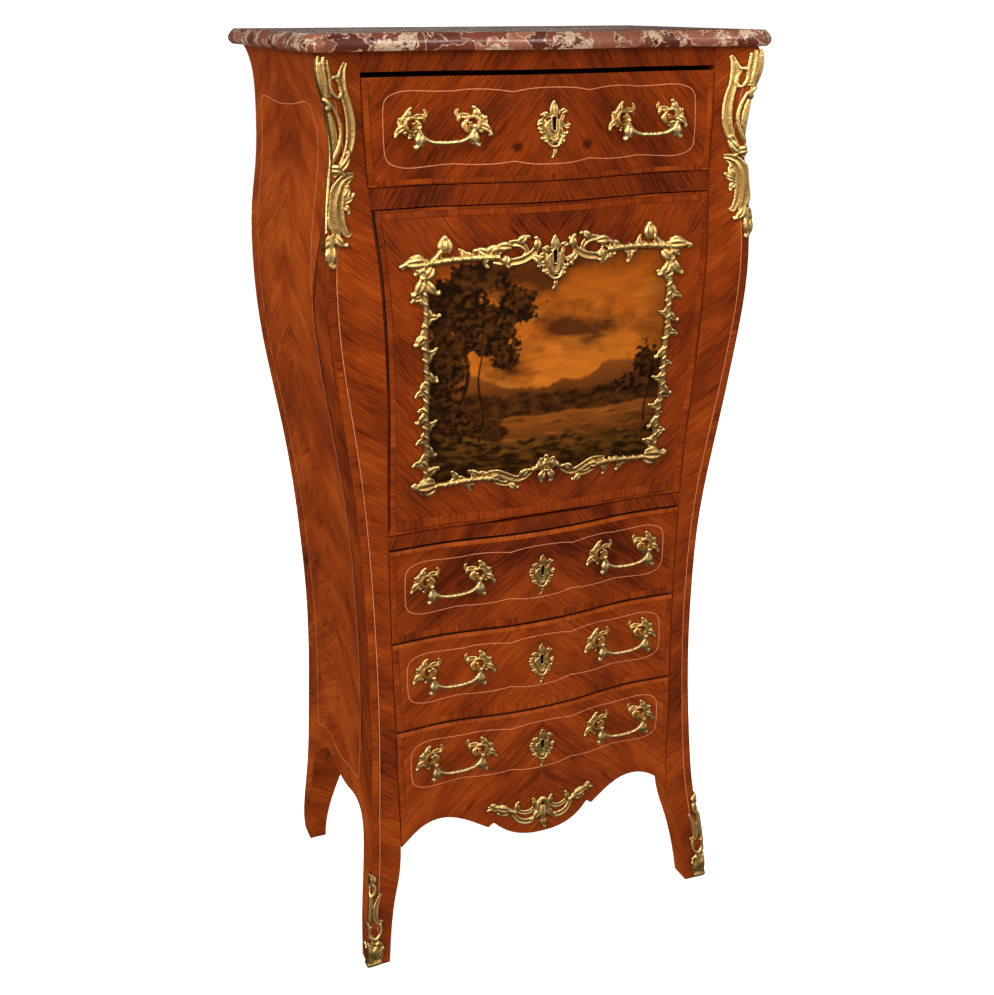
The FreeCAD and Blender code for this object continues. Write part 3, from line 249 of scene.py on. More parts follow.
tone = sums(grain, (lines, 0.34), (fine, 0.34), (broad, 0.32), (cloud, 0.24), (sheets, 0.30),
            (given["Tone"], 1.0), (-0.15, 1.0))
figure = shades(grain, tone, (0.42, DARK_STREAK), (0.54, RED_BROWN), (0.66, WARM_BROWN),
                (0.80, PALE_STREAK))
figure = mix(grain, between(grain, veins, 0.585, 0.70, 0.55), figure, DARK_STREAK)
gloss = sums(grain, (fine, 0.16), (0.22, 1.0))
wire(grain, "NodeGroupOutput", {"Colour": figure, "Gloss": gloss, "Pores": pores})

# FLANK_TONE is painted light: it lightens the veneer on both sides, for the light falling on the sides.
SIDE_MEETING, SIDE_SLOPE, FLANK_TONE = 0.022, -33.0, 0.04
LIP_TILT = 0.3
KNOT_STRETCH, KNOT_FADE, KNOT_DARK = (1.0, 1.35, 0.0), -80.0, 0.85


def kingwood(name, slope, tone=0.0, shift=(0, 0, 0), lip_band_and_highlight=0.0, knot=None):
    """Veneer mirrored on the middle line: fronts at a slope, sides in chevrons, lips cross-banded.
    The lips are also made lighter, as a painted highlight.
    """
    made, tree, shader = finish(name, Specular_IOR_Level=0.045)
    source = wire(tree, "TexCoord").outputs
    parts = axes(tree, source["Object"])
    facing = axes(tree, source["Normal"])
    turned = [maths(tree, "ABSOLUTE", facing[axis]) for axis in ("X", "Y")]
    to_side = maths(tree, "GREATER_THAN", turned[0], turned[1])
    half = maths(tree, "ABSOLUTE", parts["X"])
    flank = maths(tree, "ABSOLUTE", maths(tree, "SUBTRACT", parts["Y"], SIDE_MEETING))
    laid = []
    for across, deep, angle in ((half, parts["Y"], slope), (flank, half, SIDE_SLOPE)):
        sheet = spot(tree, across, parts["Z"], deep)
        turn = {"Vector": sheet, "Rotation": (0, 0, math.radians(-angle)), "Location": shift}
        laid.append(wire(tree, "Mapping", turn).outputs[0])
    place = mix(tree, to_side, laid[0], laid[1])
    light = sums(tree, (to_side, FLANK_TONE), (tone, 1.0))
    # Painted highlight: the upward-facing lip is cross-banded and made lighter, for the light its top edge
    # catches.
    if lip_band_and_highlight:
        edge = maths(tree, "GREATER_THAN", facing["Z"], LIP_TILT)
        banded = spot(tree, parts["Z"], parts["X"], parts["Y"])
        place = mix(tree, edge, place, banded)
        light = sums(tree, (edge, lip_band_and_highlight), (light, 1.0))
    wood = wire(tree, "Group", node_tree=grain)
    tree.links.new(place, wood.inputs["Place"])
    tree.links.new(light, wood.inputs["Tone"])
    colour = wood.outputs["Colour"]
    if knot:
        away = vector(tree, "SUBTRACT", spot(tree, half, parts["Z"]), knot)
        away = vector(tree, "MULTIPLY", away, KNOT_STRETCH)
        away = wire(tree, "VectorMath", {0: away}, operation="LENGTH").outputs["Value"]
        blot = noise(tree, place, (70, 300, 90), 3, 0.6)[0]
        near = sums(tree, (away, KNOT_FADE), (blot, 1.5), (0.45, 1.0))
        dark = between(tree, near, 0.35, 0.85, KNOT_DARK)
        colour = mix(tree, dark, colour, DARK_STREAK)
    polish(tree, shader, colour, wood.outputs["Gloss"], wood.outputs["Pores"], 0.06, 0.0004)
    return made


carcase_veneer = kingwood("carcase_veneer", 33)
dress(carcase_veneer, "front_left_post", "front_right_post", "left_side", "right_side", "rear_posts")
dress(kingwood("rail_veneer", -58, tone=-0.06, shift=(0.3, 0, 0)), "front_rails")

# Oak carcase
# The hidden frame: back, bottom, dust boards and guides, straight-grained oak left unpolished.
# The grain runs along each board: from front to back in the sides of the drawers, across elsewhere.
# The back is of wide boards laid level, edge to edge.
BACK_BOARD, BOARD_JOINT = 0.205, 0.0009
BOARD_MIX, BOARD_TONE, BOARD_SHIFT = 37.1, 0.035, 0.73
SIDE_TURN = 0.7
JOINT_SHADOW = (0.012, 0.006, 0.003, 1)


def oak_timber(name, board=0.0):
    """Plain oak; given a board height, joints show between boards of that height."""
    made, tree, shader = finish(name, Specular_IOR_Level=0.25)
    source = wire(tree, "TexCoord").outputs
    parts = axes(tree, source["Object"])
    facing = axes(tree, source["Normal"])["X"]
    along = spot(tree, parts["Y"], parts["X"], parts["Z"])
    sideways = maths(tree, "GREATER_THAN", maths(tree, "ABSOLUTE", facing), SIDE_TURN)
    place = mix(tree, sideways, source["Object"], along)
    light = 0.0
    if board:
        count = maths(tree, "FLOOR", maths(tree, "DIVIDE", parts["Z"], board))
        light = maths(tree, "SINE", maths(tree, "MULTIPLY", count, BOARD_MIX))
        light = maths(tree, "MULTIPLY", light, BOARD_TONE)
        over = maths(tree, "MULTIPLY", count, BOARD_SHIFT)
        place = vector(tree, "ADD", place, spot(tree, over))
    rings = noise(tree, place, (2.6, 110, 110), 4, 0.6)[0]
    flecks = noise(tree, place, (30, 700, 700), 2, 0.5)[0]
    timber = shades(tree, sums(tree, (rings, 0.7), (flecks, 0.35), (light, 1.0)),
                    (0.36, (0.090, 0.034, 0.010, 1)), (0.52, (0.20, 0.086, 0.027, 1)),
                    (0.68, (0.32, 0.155, 0.055, 1)))
    if board:
        within = maths(tree, "MODULO", parts["Z"], board)
        clear = maths(tree, "COMPARE", within, board / 2, board / 2 - BOARD_JOINT)
        timber = mix(tree, clear, JOINT_SHADOW, timber)
    polish(tree, shader, timber, sums(tree, (flecks, 0.2), (0.55, 1.0)), flecks, 0.15, 0.0005)
    return made


oak = oak_timber("carcase_oak")
dress(oak, "bottom_board", "dust_boards", "drawer_guides", "top_board")
dress(oak_timber("back_oak", BACK_BOARD), "back_panel")

# Marble top
# A slab of red breccia marble with white calcite patches and veins. It is sawn to the outline of the
# carcase, moulded along the edge and polished, and lies loose on the top board.
marble, tree, shader = finish("red_marble", Specular_IOR_Level=0.35, Coat_Weight=0.1,
                              Coat_Roughness=0.06)
place = own_place(tree)
folded = warped(tree, place, (16, 16, 16), 4, 0.6, (0.09, 0.09, 0.09))
broken = {"Vector": folded, "Scale": 24.0}
blocks = wire(tree, "TexVoronoi", broken)
seams = wire(tree, "TexVoronoi", broken, feature="DISTANCE_TO_EDGE").outputs[0]
specks = noise(tree, folded, (190, 190, 190), 4, 0.65)[0]
patches = noise(tree, folded, (20, 20, 20), 5, 0.62)[0]
block_tone = axes(tree, blocks.outputs["Color"])["X"]
red = shades(tree, sums(tree, (block_tone, 0.6), (specks, 0.5)), (0.25, (0.070, 0.015, 0.008, 1)),
             (0.55, (0.158, 0.039, 0.022, 1)), (0.85, (0.285, 0.104, 0.062, 1)))
white = maths(tree, "MAXIMUM", between(tree, sums(tree, (patches, 1.0), (specks, 0.25)), 0.665, 0.70),
              maths(tree, "SUBTRACT", 1.0, between(tree, seams, 0.004, 0.03)))
calcite = shades(tree, specks, (0.35, (0.31, 0.175, 0.105, 1)), (0.60, (0.56, 0.42, 0.29, 1)))
polish(tree, shader, mix(tree, white, red, calcite), sums(tree, (specks, 0.12), (0.10, 1.0)))
dress(marble, "marble_top")

# Drawers
# Four dovetailed oak boxes that run on guides, behind shaped fronts veneered in a point.
# The lower fronts have a bevelled lip on top; the sheet on the top front shows a knot each side.
KNOT = (0.0535, 1.2735, 0.0)
knotty = kingwood("top_drawer_veneer", -50, tone=-0.035, shift=(0.11, 0.2, 0), knot=KNOT)
dress(knotty, "drawer_1_front")
for number, slope, tone in ((2, -38, -0.055), (3, -40, 0.0), (4, -42, 0.01)):
    sheet = kingwood("drawer_%d_veneer" % number, slope, tone, shift=(0.37 * number, 0.1, 0), lip_band_and_highlight=0.15)
    dress(sheet, "drawer_%d_front" % number)
dress(oak, *("drawer_%d_box" % number for number in (1, 2, 3, 4)))

# Fall front
# The writing flap: a shaped board on pivots, veneered in a V. A skiver of green leather is let into
# its back, tooled round the edge with lines of gold leaf.
dress(kingwood("fall_veneer", 50, tone=-0.025, shift=(0.7, 0.4, 0)), "fall_board")
leather, tree, shader = finish("writing_leather", Specular_IOR_Level=0.3)
place = own_place(tree)
pebble = wire(tree, "TexVoronoi", {"Vector": place, "Scale": 700.0}).outputs["Distance"]
worn = noise(tree, place, (11, 11, 11), 3, 0.6)[0]
hide = shades(tree, sums(tree, (worn, 0.5), (pebble, 0.15), (0.2, 1.0)),
              (0.35, (0.016, 0.026, 0.012, 1)), (0.55, (0.034, 0.050, 0.021, 1)),
              (0.75, (0.070, 0.086, 0.038, 1)))
GOLD_LEAF = (0.62, 0.42, 0.14, 1)
TOOLED_LINES = ((0.011, 0.0010), (0.0155, 0.0005), (0.0285, 0.0005))
corners = cad["fall_leather"].bound_box
parts = axes(tree, place)
edges = []
for axis, number in (("X", 0), ("Z", 2)):
    low, high = min(corner[number] for corner in corners), max(corner[number] for corner in corners)
    away = maths(tree, "ABSOLUTE", maths(tree, "SUBTRACT", parts[axis], (low + high) / 2))
    edges.append(maths(tree, "SUBTRACT", (high - low) / 2, away))
inset = maths(tree, "MINIMUM", *edges)
tooled = 0.0
for depth, half in TOOLED_LINES:
    tooled = maths(tree, "MAXIMUM", tooled, maths(tree, "COMPARE", inset, depth, half))
tooled = maths(tree, "MULTIPLY", tooled, between(tree, worn, 0.30, 0.42))
tree.links.new(tooled, shader.inputs["Metallic"])
polish(tree, shader, mix(tree, tooled, hide, GOLD_LEAF), sums(tree, (worn, 0.25), (0.38, 1.0)),
       pebble, 0.25, 0.0006)
dress(leather, "fall_leather")

# Writing compartment
# The inside behind the fall: floor, linings, pigeonholes and two small drawers, of thin boards
# housed together and veneered in plain upright kingwood.
dress(kingwood("inner_veneer", 90, tone=0.10, shift=(0, 0.6, 0)), "compartment_linings", "letter_nest",
      "letter_drawer_left", "letter_drawer_right", "writing_floor")

# Locks, stays and hinges
# Iron lock cases and bolts screwed behind the fronts, iron pivots under the fall, and brass quadrant
# stays that stop the fall when it is level.
def metal(name, colour, dark, rough):
    """Worn plain metal."""
    made, tree, shader = finish(name, Metallic=1.0)
    place = own_place(tree)
    stain = noise(tree, place, (60, 60, 60), 4, 0.6)[0]
    rub = noise(tree, place, (900, 60, 60), 2, 0.5)[0]
    polish(tree, shader, mix(tree, between(tree, stain, 0.40, 0.65), dark, colour),
           sums(tree, (rub, 0.18), (stain, -0.12), (rough, 1.0)))
    return made


steel = metal("lock_steel", (0.42, 0.41, 0.40, 1), (0.20, 0.18, 0.165, 1), 0.38)
brass = metal("stay_brass", (0.64, 0.46, 0.18, 1), (0.38, 0.24, 0.075, 1), 0.30)
dress(steel, "fall_lock_case", "fall_lock_bolt", "fall_fittings",
      *("drawer_%d_lock_%s" % (number, kind) for number in (1, 2, 3, 4) for kind in ("case", "bolt")))
dress(brass, "fall_stays")

# Gilt bronze
# Cast and chased mounts, fire gilt: bright on the ridges, brown in the hollows. Each mount is drawn as
# strokes in millimetres, swept, fused into one casting, and laid on the veneer it is pinned to.
gilt, tree, shader = finish("gilt_bronze", Metallic=1.0)
place = own_place(tree)
raised = wire(tree, "Attribute", attribute_name="raised").outputs["Fac"]
chasing = noise(tree, place, (330, 330, 330), 3, 0.6)[0]
bloom = noise(tree, place, (120, 120, 120), 3, 0.6)[0]
worn = sums(tree, (raised, 0.80), (bloom, 0.50), (-0.10, 1.0))
gold = shades(tree, worn, (0.14, (0.065, 0.027, 0.007, 1)), (0.32, (0.40, 0.200, 0.048, 1)),
              (0.52, (0.60, 0.345, 0.100, 1)), (0.82, (0.72, 0.495, 0.20, 1)))
dull = sums(tree, (chasing, 0.16), (worn, -0.12), (0.38, 1.0))
polish(tree, shader, gold, dull, chasing, 0.5, 0.0012)

MM = 0.001
HANDS = (("left", -1), ("right", 1))
FLUTES = ((-0.5, 0.23, 0.12), (-0.17, 0.32, -0.10), (0.17, 0.32, -0.10), (0.5, 0.23, 0.12))
LEAF_BLADE = ((0.0, 0.50), (0.3, 0.98), (0.64, 0.92), (0.92, 0.50))
LEAF_TIP = ((0.74, -0.05, 0.26), (0.96, 0.06, 0.31), (0.98, 0.36, 0.27), (0.82, 0.52, 0.19))
LEAF_HALF, TIP_LIFT = 0.42, 0.9
AXIS_RISE = 0.45
HOLLOW_ROUNDS, EVEN, HOLLOW_DEPTH = 9, 0.52, 0.9 * MM
SHADE_BELOW, SHADE_DEPTH = 0.2 * MM, 1.6 * MM


def made_mesh(holder):
    """The mesh that a holder's curve or modifiers give; the holder goes."""
    scene.collection.objects.link(holder)
    view = bpy.context.evaluated_depsgraph_get()
    mesh = bpy.data.meshes.new_from_object(holder.evaluated_get(view))
    bpy.data.objects.remove(holder)
    return mesh


def fluted(points, lift=0.0):
    """A grooved scroll: raised rails along the edges of a band and a dished web between them."""
    strokes = []
    for across, girth, rise in FLUTES:
        line = []
        for index, (u, v, wide) in enumerate(points):
            before, after = points[max(index - 1, 0)], points[min(index + 1, len(points) - 1)]
            run = Vector((after[0] - before[0], after[1] - before[1])).normalized() * wide * across
            line.append((u - run.y, v + run.x, max(0.7, wide * girth), lift + wide * rise))
        strokes.append((lift, line))
    return strokes


def rod(*points, lift=0.0):
    """One round tapering stroke through (u, v, radius) points, or (u, v, radius, height)."""
    return [(lift, points)]


def leaf(u, v, angle, length, wide, bend=0.0, lift=0.0):
    """A grooved lobe that grows from (u, v), curls by bend degrees and rolls over at its tip."""
    def point(share, aside, girth, degrees):
        turn = math.radians(degrees)
        return (u + length * share * math.cos(turn) - aside * math.sin(turn),
                v + length * share * math.sin(turn) + aside * math.cos(turn), girth)

    strokes = []
    for side in (-LEAF_HALF, LEAF_HALF):
        blade = []
        for share, girth in LEAF_BLADE:
            aside = side * wide * math.sin(math.pi * min(share + 0.12, 1.0))
            blade.append(point(share, aside, wide * LEAF_HALF * girth, angle + bend * share))
        strokes.append((lift, blade))
    tip = []
    for share, aside, girth in LEAF_TIP:
        aside = math.copysign(aside, aside * (bend or 1)) * wide
        tip.append(point(share, aside, wide * girth, angle + bend))
    return strokes + [(lift + TIP_LIFT, tip)]


def leaves(*grown):
    """Several leaves, each given as to leaf."""
    return [stroke for one in grown for stroke in leaf(*one)]


def sprig(u, v, angle, size):
    """A small twig of three leaves."""
    strokes = rod((u, v, 1.4), (u + size * 0.4 * math.cos(math.radians(angle)),
                                v + size * 0.4 * math.sin(math.radians(angle)), 1.5), lift=1.0)
    for turn, reach in ((-56, 0.76), (9, 0.96), (64, 0.70)):
        strokes += leaf(u, v, angle + turn * 0.6, size * reach, size * 0.37, turn * 1.1, lift=0.8)
    return strokes


def mirrored(strokes):
    """The same strokes turned left for right."""
    return [(lift, [(-point[0],) + tuple(point[1:]) for point in points]) for lift, points in strokes]


def swept(strokes, girth=1.0):
    """Tubes along the strokes, in metres, with the height along Z."""
    lines = bpy.data.curves.new("strokes", "CURVE")
    lines.dimensions = "3D"
    lines.bevel_depth = MM
    lines.bevel_resolution = 2
    lines.use_fill_caps = True
    lines.resolution_u = 5
    for lift, points in strokes:
        spline = lines.splines.new("NURBS")
        spline.points.add(len(points) - 1)
        for knot, point in zip(spline.points, points):
            height = point[3] if len(point) > 3 else lift + point[2] * AXIS_RISE
            knot.co = (point[0] * MM, point[1] * MM, height * MM, 1)
            knot.radius = point[2] * girth
        spline.use_endpoint_u = True
        spline.order_u = 3
    return made_mesh(bpy.data.objects.new("strokes", lines))


def patina(mesh):
    """Marks how far each point of a casting stands above those round it: 0 in hollows, 1 on ridges."""
    ends = numpy.empty(len(mesh.edges) * 2, int)
    mesh.edges.foreach_get("vertices", ends)
    first, second = ends[0::2], ends[1::2]
    spots = numpy.empty(len(mesh.vertices) * 3)
    mesh.vertices.foreach_get("co", spots)
    height, many = spots[2::3], len(mesh.vertices)

    def round_about(values):
        return numpy.bincount(first, values[second], many) + numpy.bincount(second, values[first], many)

    near = numpy.maximum(round_about(numpy.ones(many)), 1)
    level = height.copy()
    for _ in range(HOLLOW_ROUNDS):
        level = round_about(level) / near
    stands = numpy.clip(EVEN + (height - level) / HOLLOW_DEPTH, 0, 1)
    stands *= numpy.clip((height + SHADE_BELOW) / SHADE_DEPTH, 0, 1)
    mesh.attributes.new("raised", "FLOAT", "POINT").data.foreach_set("value", stands)
    return mesh


def casting(strokes, grit, girth=1.3):
    """Strokes fused into one skin, its grain this fine."""
    cast = bpy.data.objects.new("cast", swept(strokes, girth))
    fuse = cast.modifiers.new("fuse", "REMESH")
    fuse.mode = "VOXEL"
    fuse.voxel_size = grit * MM
    fuse.use_smooth_shade = True
    ease = cast.modifiers.new("soften", "SMOOTH")
    ease.iterations = 1
    ease.factor = 0.5
    return patina(made_mesh(cast))


def ground(*names):
    """The outer face of these CAD pieces, to lay things on."""
    shape = bmesh.new()
    for name in names:
        shape.from_mesh(cad[name].data)
    face = BVHTree.FromBMesh(shape)
    shape.free()
    return face


def front_y(face, x, z):
    """How far forward this face reaches at (x, z)."""
    hit = face.ray_cast(Vector((x, -1.0, z)), Vector((0, 1, 0)))[0]
    return None if hit is None else hit.y


def piece(name, shapes, body, *nodes, material=gilt, slot="gilt_brass"):
    """One smooth piece of these bmeshes, riding on its body in place of these CAD nodes."""
    whole = bmesh.new()
    for shape in shapes:
        part = bpy.data.meshes.new("part")
        shape.to_mesh(part)
        whole.from_mesh(part)
        bpy.data.meshes.remove(part)
        shape.free()
    for found in whole.faces:
        found.smooth = True
    mesh = bpy.data.meshes.new(name)
    whole.to_mesh(mesh)
    whole.free()
    mesh.materials.append(material)
    made = bpy.data.objects.new(name, mesh)
    scene.collection.objects.link(made)
    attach(made, body)
    if nodes:
        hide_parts(*nodes)


SINK, TALLEST = 0.0002, 0.0088


def lay(shape, face, x, z, side=1):
    """Lays a casting (a bmesh in u, v, height) on a front face round the point (x, z)."""
    last = 0.0
    for vert in shape.verts:
        u, v, height = vert.co
        found = front_y(face, x + side * u, z + v)
        last = last if found is None else found
        vert.co = (x + side * u, last - max(min(height, TALLEST), -SINK), z + v)
    bmesh.ops.recalc_face_normals(shape, faces=shape.faces)


def loaded(mesh):
    """A fresh bmesh of a casting."""
    shape = bmesh.new()
    shape.from_mesh(mesh)
    return shape


# Drawer handles
# Two leafy rosettes of gilt bronze pinned to the front, each with a turned post through it.
# A cast drop bail hangs between the posts and swings out to the hand.
POST_HALF_SPACING = 39.0
POST_FOOT, POST_HEAD, POST_PROUD, POST_ROUNDING = 4.2, 2.9, 2.4, 0.9
POST_SIDES, RIM_ANGLE = 20, 1.0
POST_BRIGHT, POST_DULL, BAIL_BRIGHT, BAIL_DEPTH = 0.7, 0.3, 0.62, 9.0
HANDLE_GRIT = 0.65
ROSETTE = (
    rod((-4, 10, 1.9), (3, 13, 2.5), (11, 9, 2.8), (12, 0, 2.8), (6, -7, 2.6), (-3, -7, 2.4),
        (-8, 0, 2.1), (-6, 7, 1.9), lift=0.6)
    + fluted([(0, 11, 4.6), (-8, 13.5, 5.4), (-14, 12, 4.8), (-18.5, 14, 3.8), (-18.5, 19, 3),
        (-15, 21.5, 1.8)])
    + rod((-13, 12, 2.4), (-17.5, 8, 2.2), (-16, 4, 1.4))
    + rod((-3, 7, 1.8), (-10, 3.5, 2.4), (-10, -4, 2.4), (-3, -9, 2.2), lift=0.3)
    + leaves((8, 9, 74, 16, 6.8, 26, 0.8), (13, 6, 40, 10, 6.4, 50, 0.4), (11, 0, -4, 21, 6.8, -30, 0.8),
        (14, 0, 14, 13, 5.6, 40, 0.4), (10, -4, -50, 11, 6.4, 50, 0.2), (2, -6, -92, 10, 6.4, 20))
    + rod((-2.5, 0, 5.2, -2.5), (2.5, 0, 5.2, -2.5))
)
BAIL_HALF = (
    rod((39.5, 0, 2.7, 0), (39.5, -4, 2.6, 0.4), (37, -9, 2.6, 0.8), (32, -14, 2.6, 0.6),
        (25, -18, 2.5, 0.3), (14, -20.4, 2.3, 0), (0, -21, 2.3, 0))
    + leaves((38.5, -6, -98, 21, 8.4, 20, -0.6), (36, -10, -124, 13, 6.6, 40, -0.4),
        (40, -10, -60, 13, 6.6, -40, -0.4))
    + rod((36.5, 0, 2.9, 0), (42, 0, 2.9, 0))
    + rod((16, -20, 2.4, 0.6), (11, -19.4, 3.1, 0.8), (6, -20.8, 2.5, 0.6))
    + rod((7, -20.4, 2.4, 0.6), (2.4, -19.9, 3, 0.8), (0, -21, 2.4, 0.6))
)
fronts = {number: ground("drawer_%d_front" % number) for number in (1, 2, 3, 4)}
rosette = casting(ROSETTE, HANDLE_GRIT, girth=1.34)
bail = casting(BAIL_HALF + mirrored(BAIL_HALF), HANDLE_GRIT, girth=1.32)
BAIL_AXES = {1: (156.0, -198.321, 1303.5), 2: (145.5, -186.777, 638.5), 3: (145.5, -187.226, 486.0),
             4: (145.5, -192.397, 336.0)}
for number, (reach, axis_y, level) in BAIL_AXES.items():
    face = fronts[number]
    plates = []
    for hand, side in HANDS:
        for turn in (-1, 1):
            post = side * reach + turn * POST_HALF_SPACING
            shape = loaded(rosette)
            lay(shape, face, post * MM, level * MM, side=turn)
            plates.append(shape)
            stem = bmesh.new()
            marks = stem.verts.layers.float.new("raised")
            foot, head = front_y(face, post * MM, level * MM), (axis_y - POST_PROUD) * MM
            bmesh.ops.create_cone(stem, cap_ends=True, segments=POST_SIDES, radius1=POST_FOOT * MM,
                                  radius2=POST_HEAD * MM, depth=foot - head)
            rims = [edge for edge in stem.edges
                    if len(edge.link_faces) == 2 and edge.calc_face_angle() > RIM_ANGLE]
            bmesh.ops.bevel(stem, geom=rims, offset=POST_ROUNDING * MM, segments=3, profile=0.5,
                            affect="EDGES", material=-1)
            middle = (foot + head) / 2
            forward = Matrix.Rotation(math.radians(90), 3, "X")
            bmesh.ops.rotate(stem, verts=stem.verts, cent=(0, 0, 0), matrix=forward)
            bmesh.ops.translate(stem, verts=stem.verts, vec=(post * MM, middle, level * MM))
            for vert in stem.verts:
                vert[marks] = POST_BRIGHT if vert.co.y < middle else POST_DULL
            plates.append(stem)
        shape = loaded(bail)
        marks = shape.verts.layers.float["raised"]
        for vert in shape.verts:
            vert[marks] = BAIL_BRIGHT + vert.co.z / (BAIL_DEPTH * MM)
            vert.co = (side * reach * MM + vert.co.x, axis_y * MM - vert.co.z, level * MM + vert.co.y)
        bmesh.ops.recalc_face_normals(shape, faces=shape.faces)
        node = "drawer_%d_bail_%s" % (number, hand)
        piece("bail_%d_%s" % (number, hand), [shape], node + "_swing", node)
    piece("rosettes_%d" % number, plates, "drawer_%d" % number, "drawer_%d_rosettes" % number)

# Keyhole plates
# Shell-and-leaf plates of gilt bronze, cast and pinned round the keyholes of the drawers.
# A near-black keyhole shape laid in each slot is painted shade, standing in for the dark opening.
PLATE = (
    rod((-9, 4, 8, -5), (-10, -8, 8.5, -5.2), (-4, -20, 8, -5), (0, -25, 7.5, -5))
    + rod((8, 6, 7, -4.2), (8, -8, 7.5, -4.6), (4, -20, 7.5, -4.6))
    + rod((0, 14, 6, -4.2), (0, 22, 4.4, -3))
    + fluted([(-3, 12, 3.4), (-11, 11, 4.2), (-18, 4, 4.4), (-20, -6, 4), (-15, -15, 3.4),
        (-7, -19, 2.4)])
    + rod((-6, 5, 1.5), (-12, 1, 1.8), (-13, -6, 1.7), (-8, -13, 1.5), lift=1)
    + fluted([(6, 13, 2.6), (12, 19, 3.4), (15.5, 13, 3.8), (10.5, 5, 4.2), (13, -3, 4), (21, -3, 2.6),
        (22, 2, 1.4)])
    + rod((10, -6, 1.7), (15, -12, 2.1), (12, -20, 1.6), lift=0.6)
    + leaves((-3, 10, 98, 21, 4.6, -14, 0.6), (3, 10, 82, 21, 4.6, 14, 0.6))
    + rod((0, 12, 1.6), (0, 22, 1.8), (0, 30, 0.9), lift=1.2)
    + rod((-13, -17, 1.7), (-10, -27, 2.2), (0, -31.5, 2.4), (10, -27, 2.2), (12, -18, 1.7), lift=0.8)
    + rod((-6, -19, 1.5), (0, -25, 1.9), (6, -19, 1.5), lift=1.2)
    + rod((-3, -25, 1.4), (0, -20, 1.6), (3, -25, 1.4), lift=1.2)
    + leaves((1, -30, -72, 16, 4.4, -30, 0.4), (-17, 3, 160, 8, 6.6, 40), (-16, -9, 204, 8, 6.6, -40),
        (-10, 10, 128, 10, 6.4, 30), (12, 15, 44, 8, 6, -30), (18, -4, -14, 6, 5.6, 30),
        (11, -14, -38, 9, 6.6, 40), (-10, -19, 226, 9, 6.6, -40), (7, -23, -50, 8, 6.4, 40))
    + rod((-4.2, 8.5, 1.3), (0, 12.5, 1.3), (4.2, 8.5, 1.3), (3.6, -1, 1.3), (3.6, -8, 1.3),
        (0, -10.5, 1.3), (-3.6, -8, 1.3), (-3.6, -1, 1.3), (-4.2, 8.5, 1.3), lift=1.4)
)
# Painted shade: a mottled near-black finish for the keyhole shapes, standing in for the shade inside the
# keyholes.
keyhole_shade, tree, shader = finish("keyhole_iron", Metallic=1.0, Roughness=0.65)
keyhole_shade_mottle = noise(tree, own_place(tree), (300, 300, 300), 3, 0.6)[0]
polish(tree, shader, mix(tree, keyhole_shade_mottle, (0.004, 0.003, 0.003, 1), (0.020, 0.012, 0.008, 1)))
plate = casting(PLATE, HANDLE_GRIT, girth=1.05)
KEYHOLE = rod((0, 7.5, 3.2, 1.2), (0, 6, 3.0, 1.2)) + rod((0, 6, 2.2, 1.2), (0, -8, 2.4, 1.2))
slot_shape = casting(KEYHOLE, grit=0.6)
KEY_LEVELS = {1: (1299.0, 1.0), 2: (628.5, 0.88), 3: (476.0, 0.88), 4: (326.0, 0.88)}
PLATE_FLAT, SLOT_FLAT, PLATE_RISE = 0.9, 0.8, 4.0
for number, (level, scale) in KEY_LEVELS.items():
    body = "drawer_%d" % number
    shapes = []
    for mesh, flat in ((plate, PLATE_FLAT), (slot_shape, SLOT_FLAT)):
        shapes.append(loaded(mesh))
        bmesh.ops.scale(shapes[-1], verts=shapes[-1].verts, vec=(scale, scale, flat))
        lay(shapes[-1], fronts[number], 0.0, (level + PLATE_RISE * scale) * MM)
    piece("keyplate_%d" % number, shapes[:1], body, body + "_escutcheon")
    piece("keyhole_%d" % number, shapes[1:], body, material=keyhole_shade, slot="steel")

# Fall frame
# A gilt bronze border of cut branches with leaf sprigs, cast in lengths and pinned round the panel,
# with scrolls at the middle and a keyhole plate at the head.
WIND_PITCH, WIND_REACH, WIND_OVER = 13, 5.0, 1.25


def shifted(strokes, over, up):
    """The same strokes moved."""
    return [(lift, [(point[0] + over, point[1] + up) + tuple(point[2:]) for point in points])
            for lift, points in strokes]


def wound(*points):
    """A cut branch with a leaf wound round it."""
    strokes = rod(*points)
    for (u0, v0, r0), (u1, v1, r1) in zip(points, points[1:]):
        run = Vector((u1 - u0, v1 - v0))
        turns = max(1, int(run.length / WIND_PITCH))
        along = run.normalized()
        across = Vector((-along.y, along.x))
        for turn in range(turns):
            middle = Vector((u0, v0)) + run * (turn + 0.5) / turns
            thick = r0 + (r1 - r0) * (turn + 0.5) / turns
            first = middle - along * WIND_REACH - across * thick * WIND_OVER
            last = middle + along * WIND_REACH + across * thick * WIND_OVER
            strokes += rod((first.x, first.y, 1.2, 1.0), (middle.x, middle.y, 2.1, thick * 1.9 + 2.4),
                           (last.x, last.y, 1.2, 1.0))
    return strokes


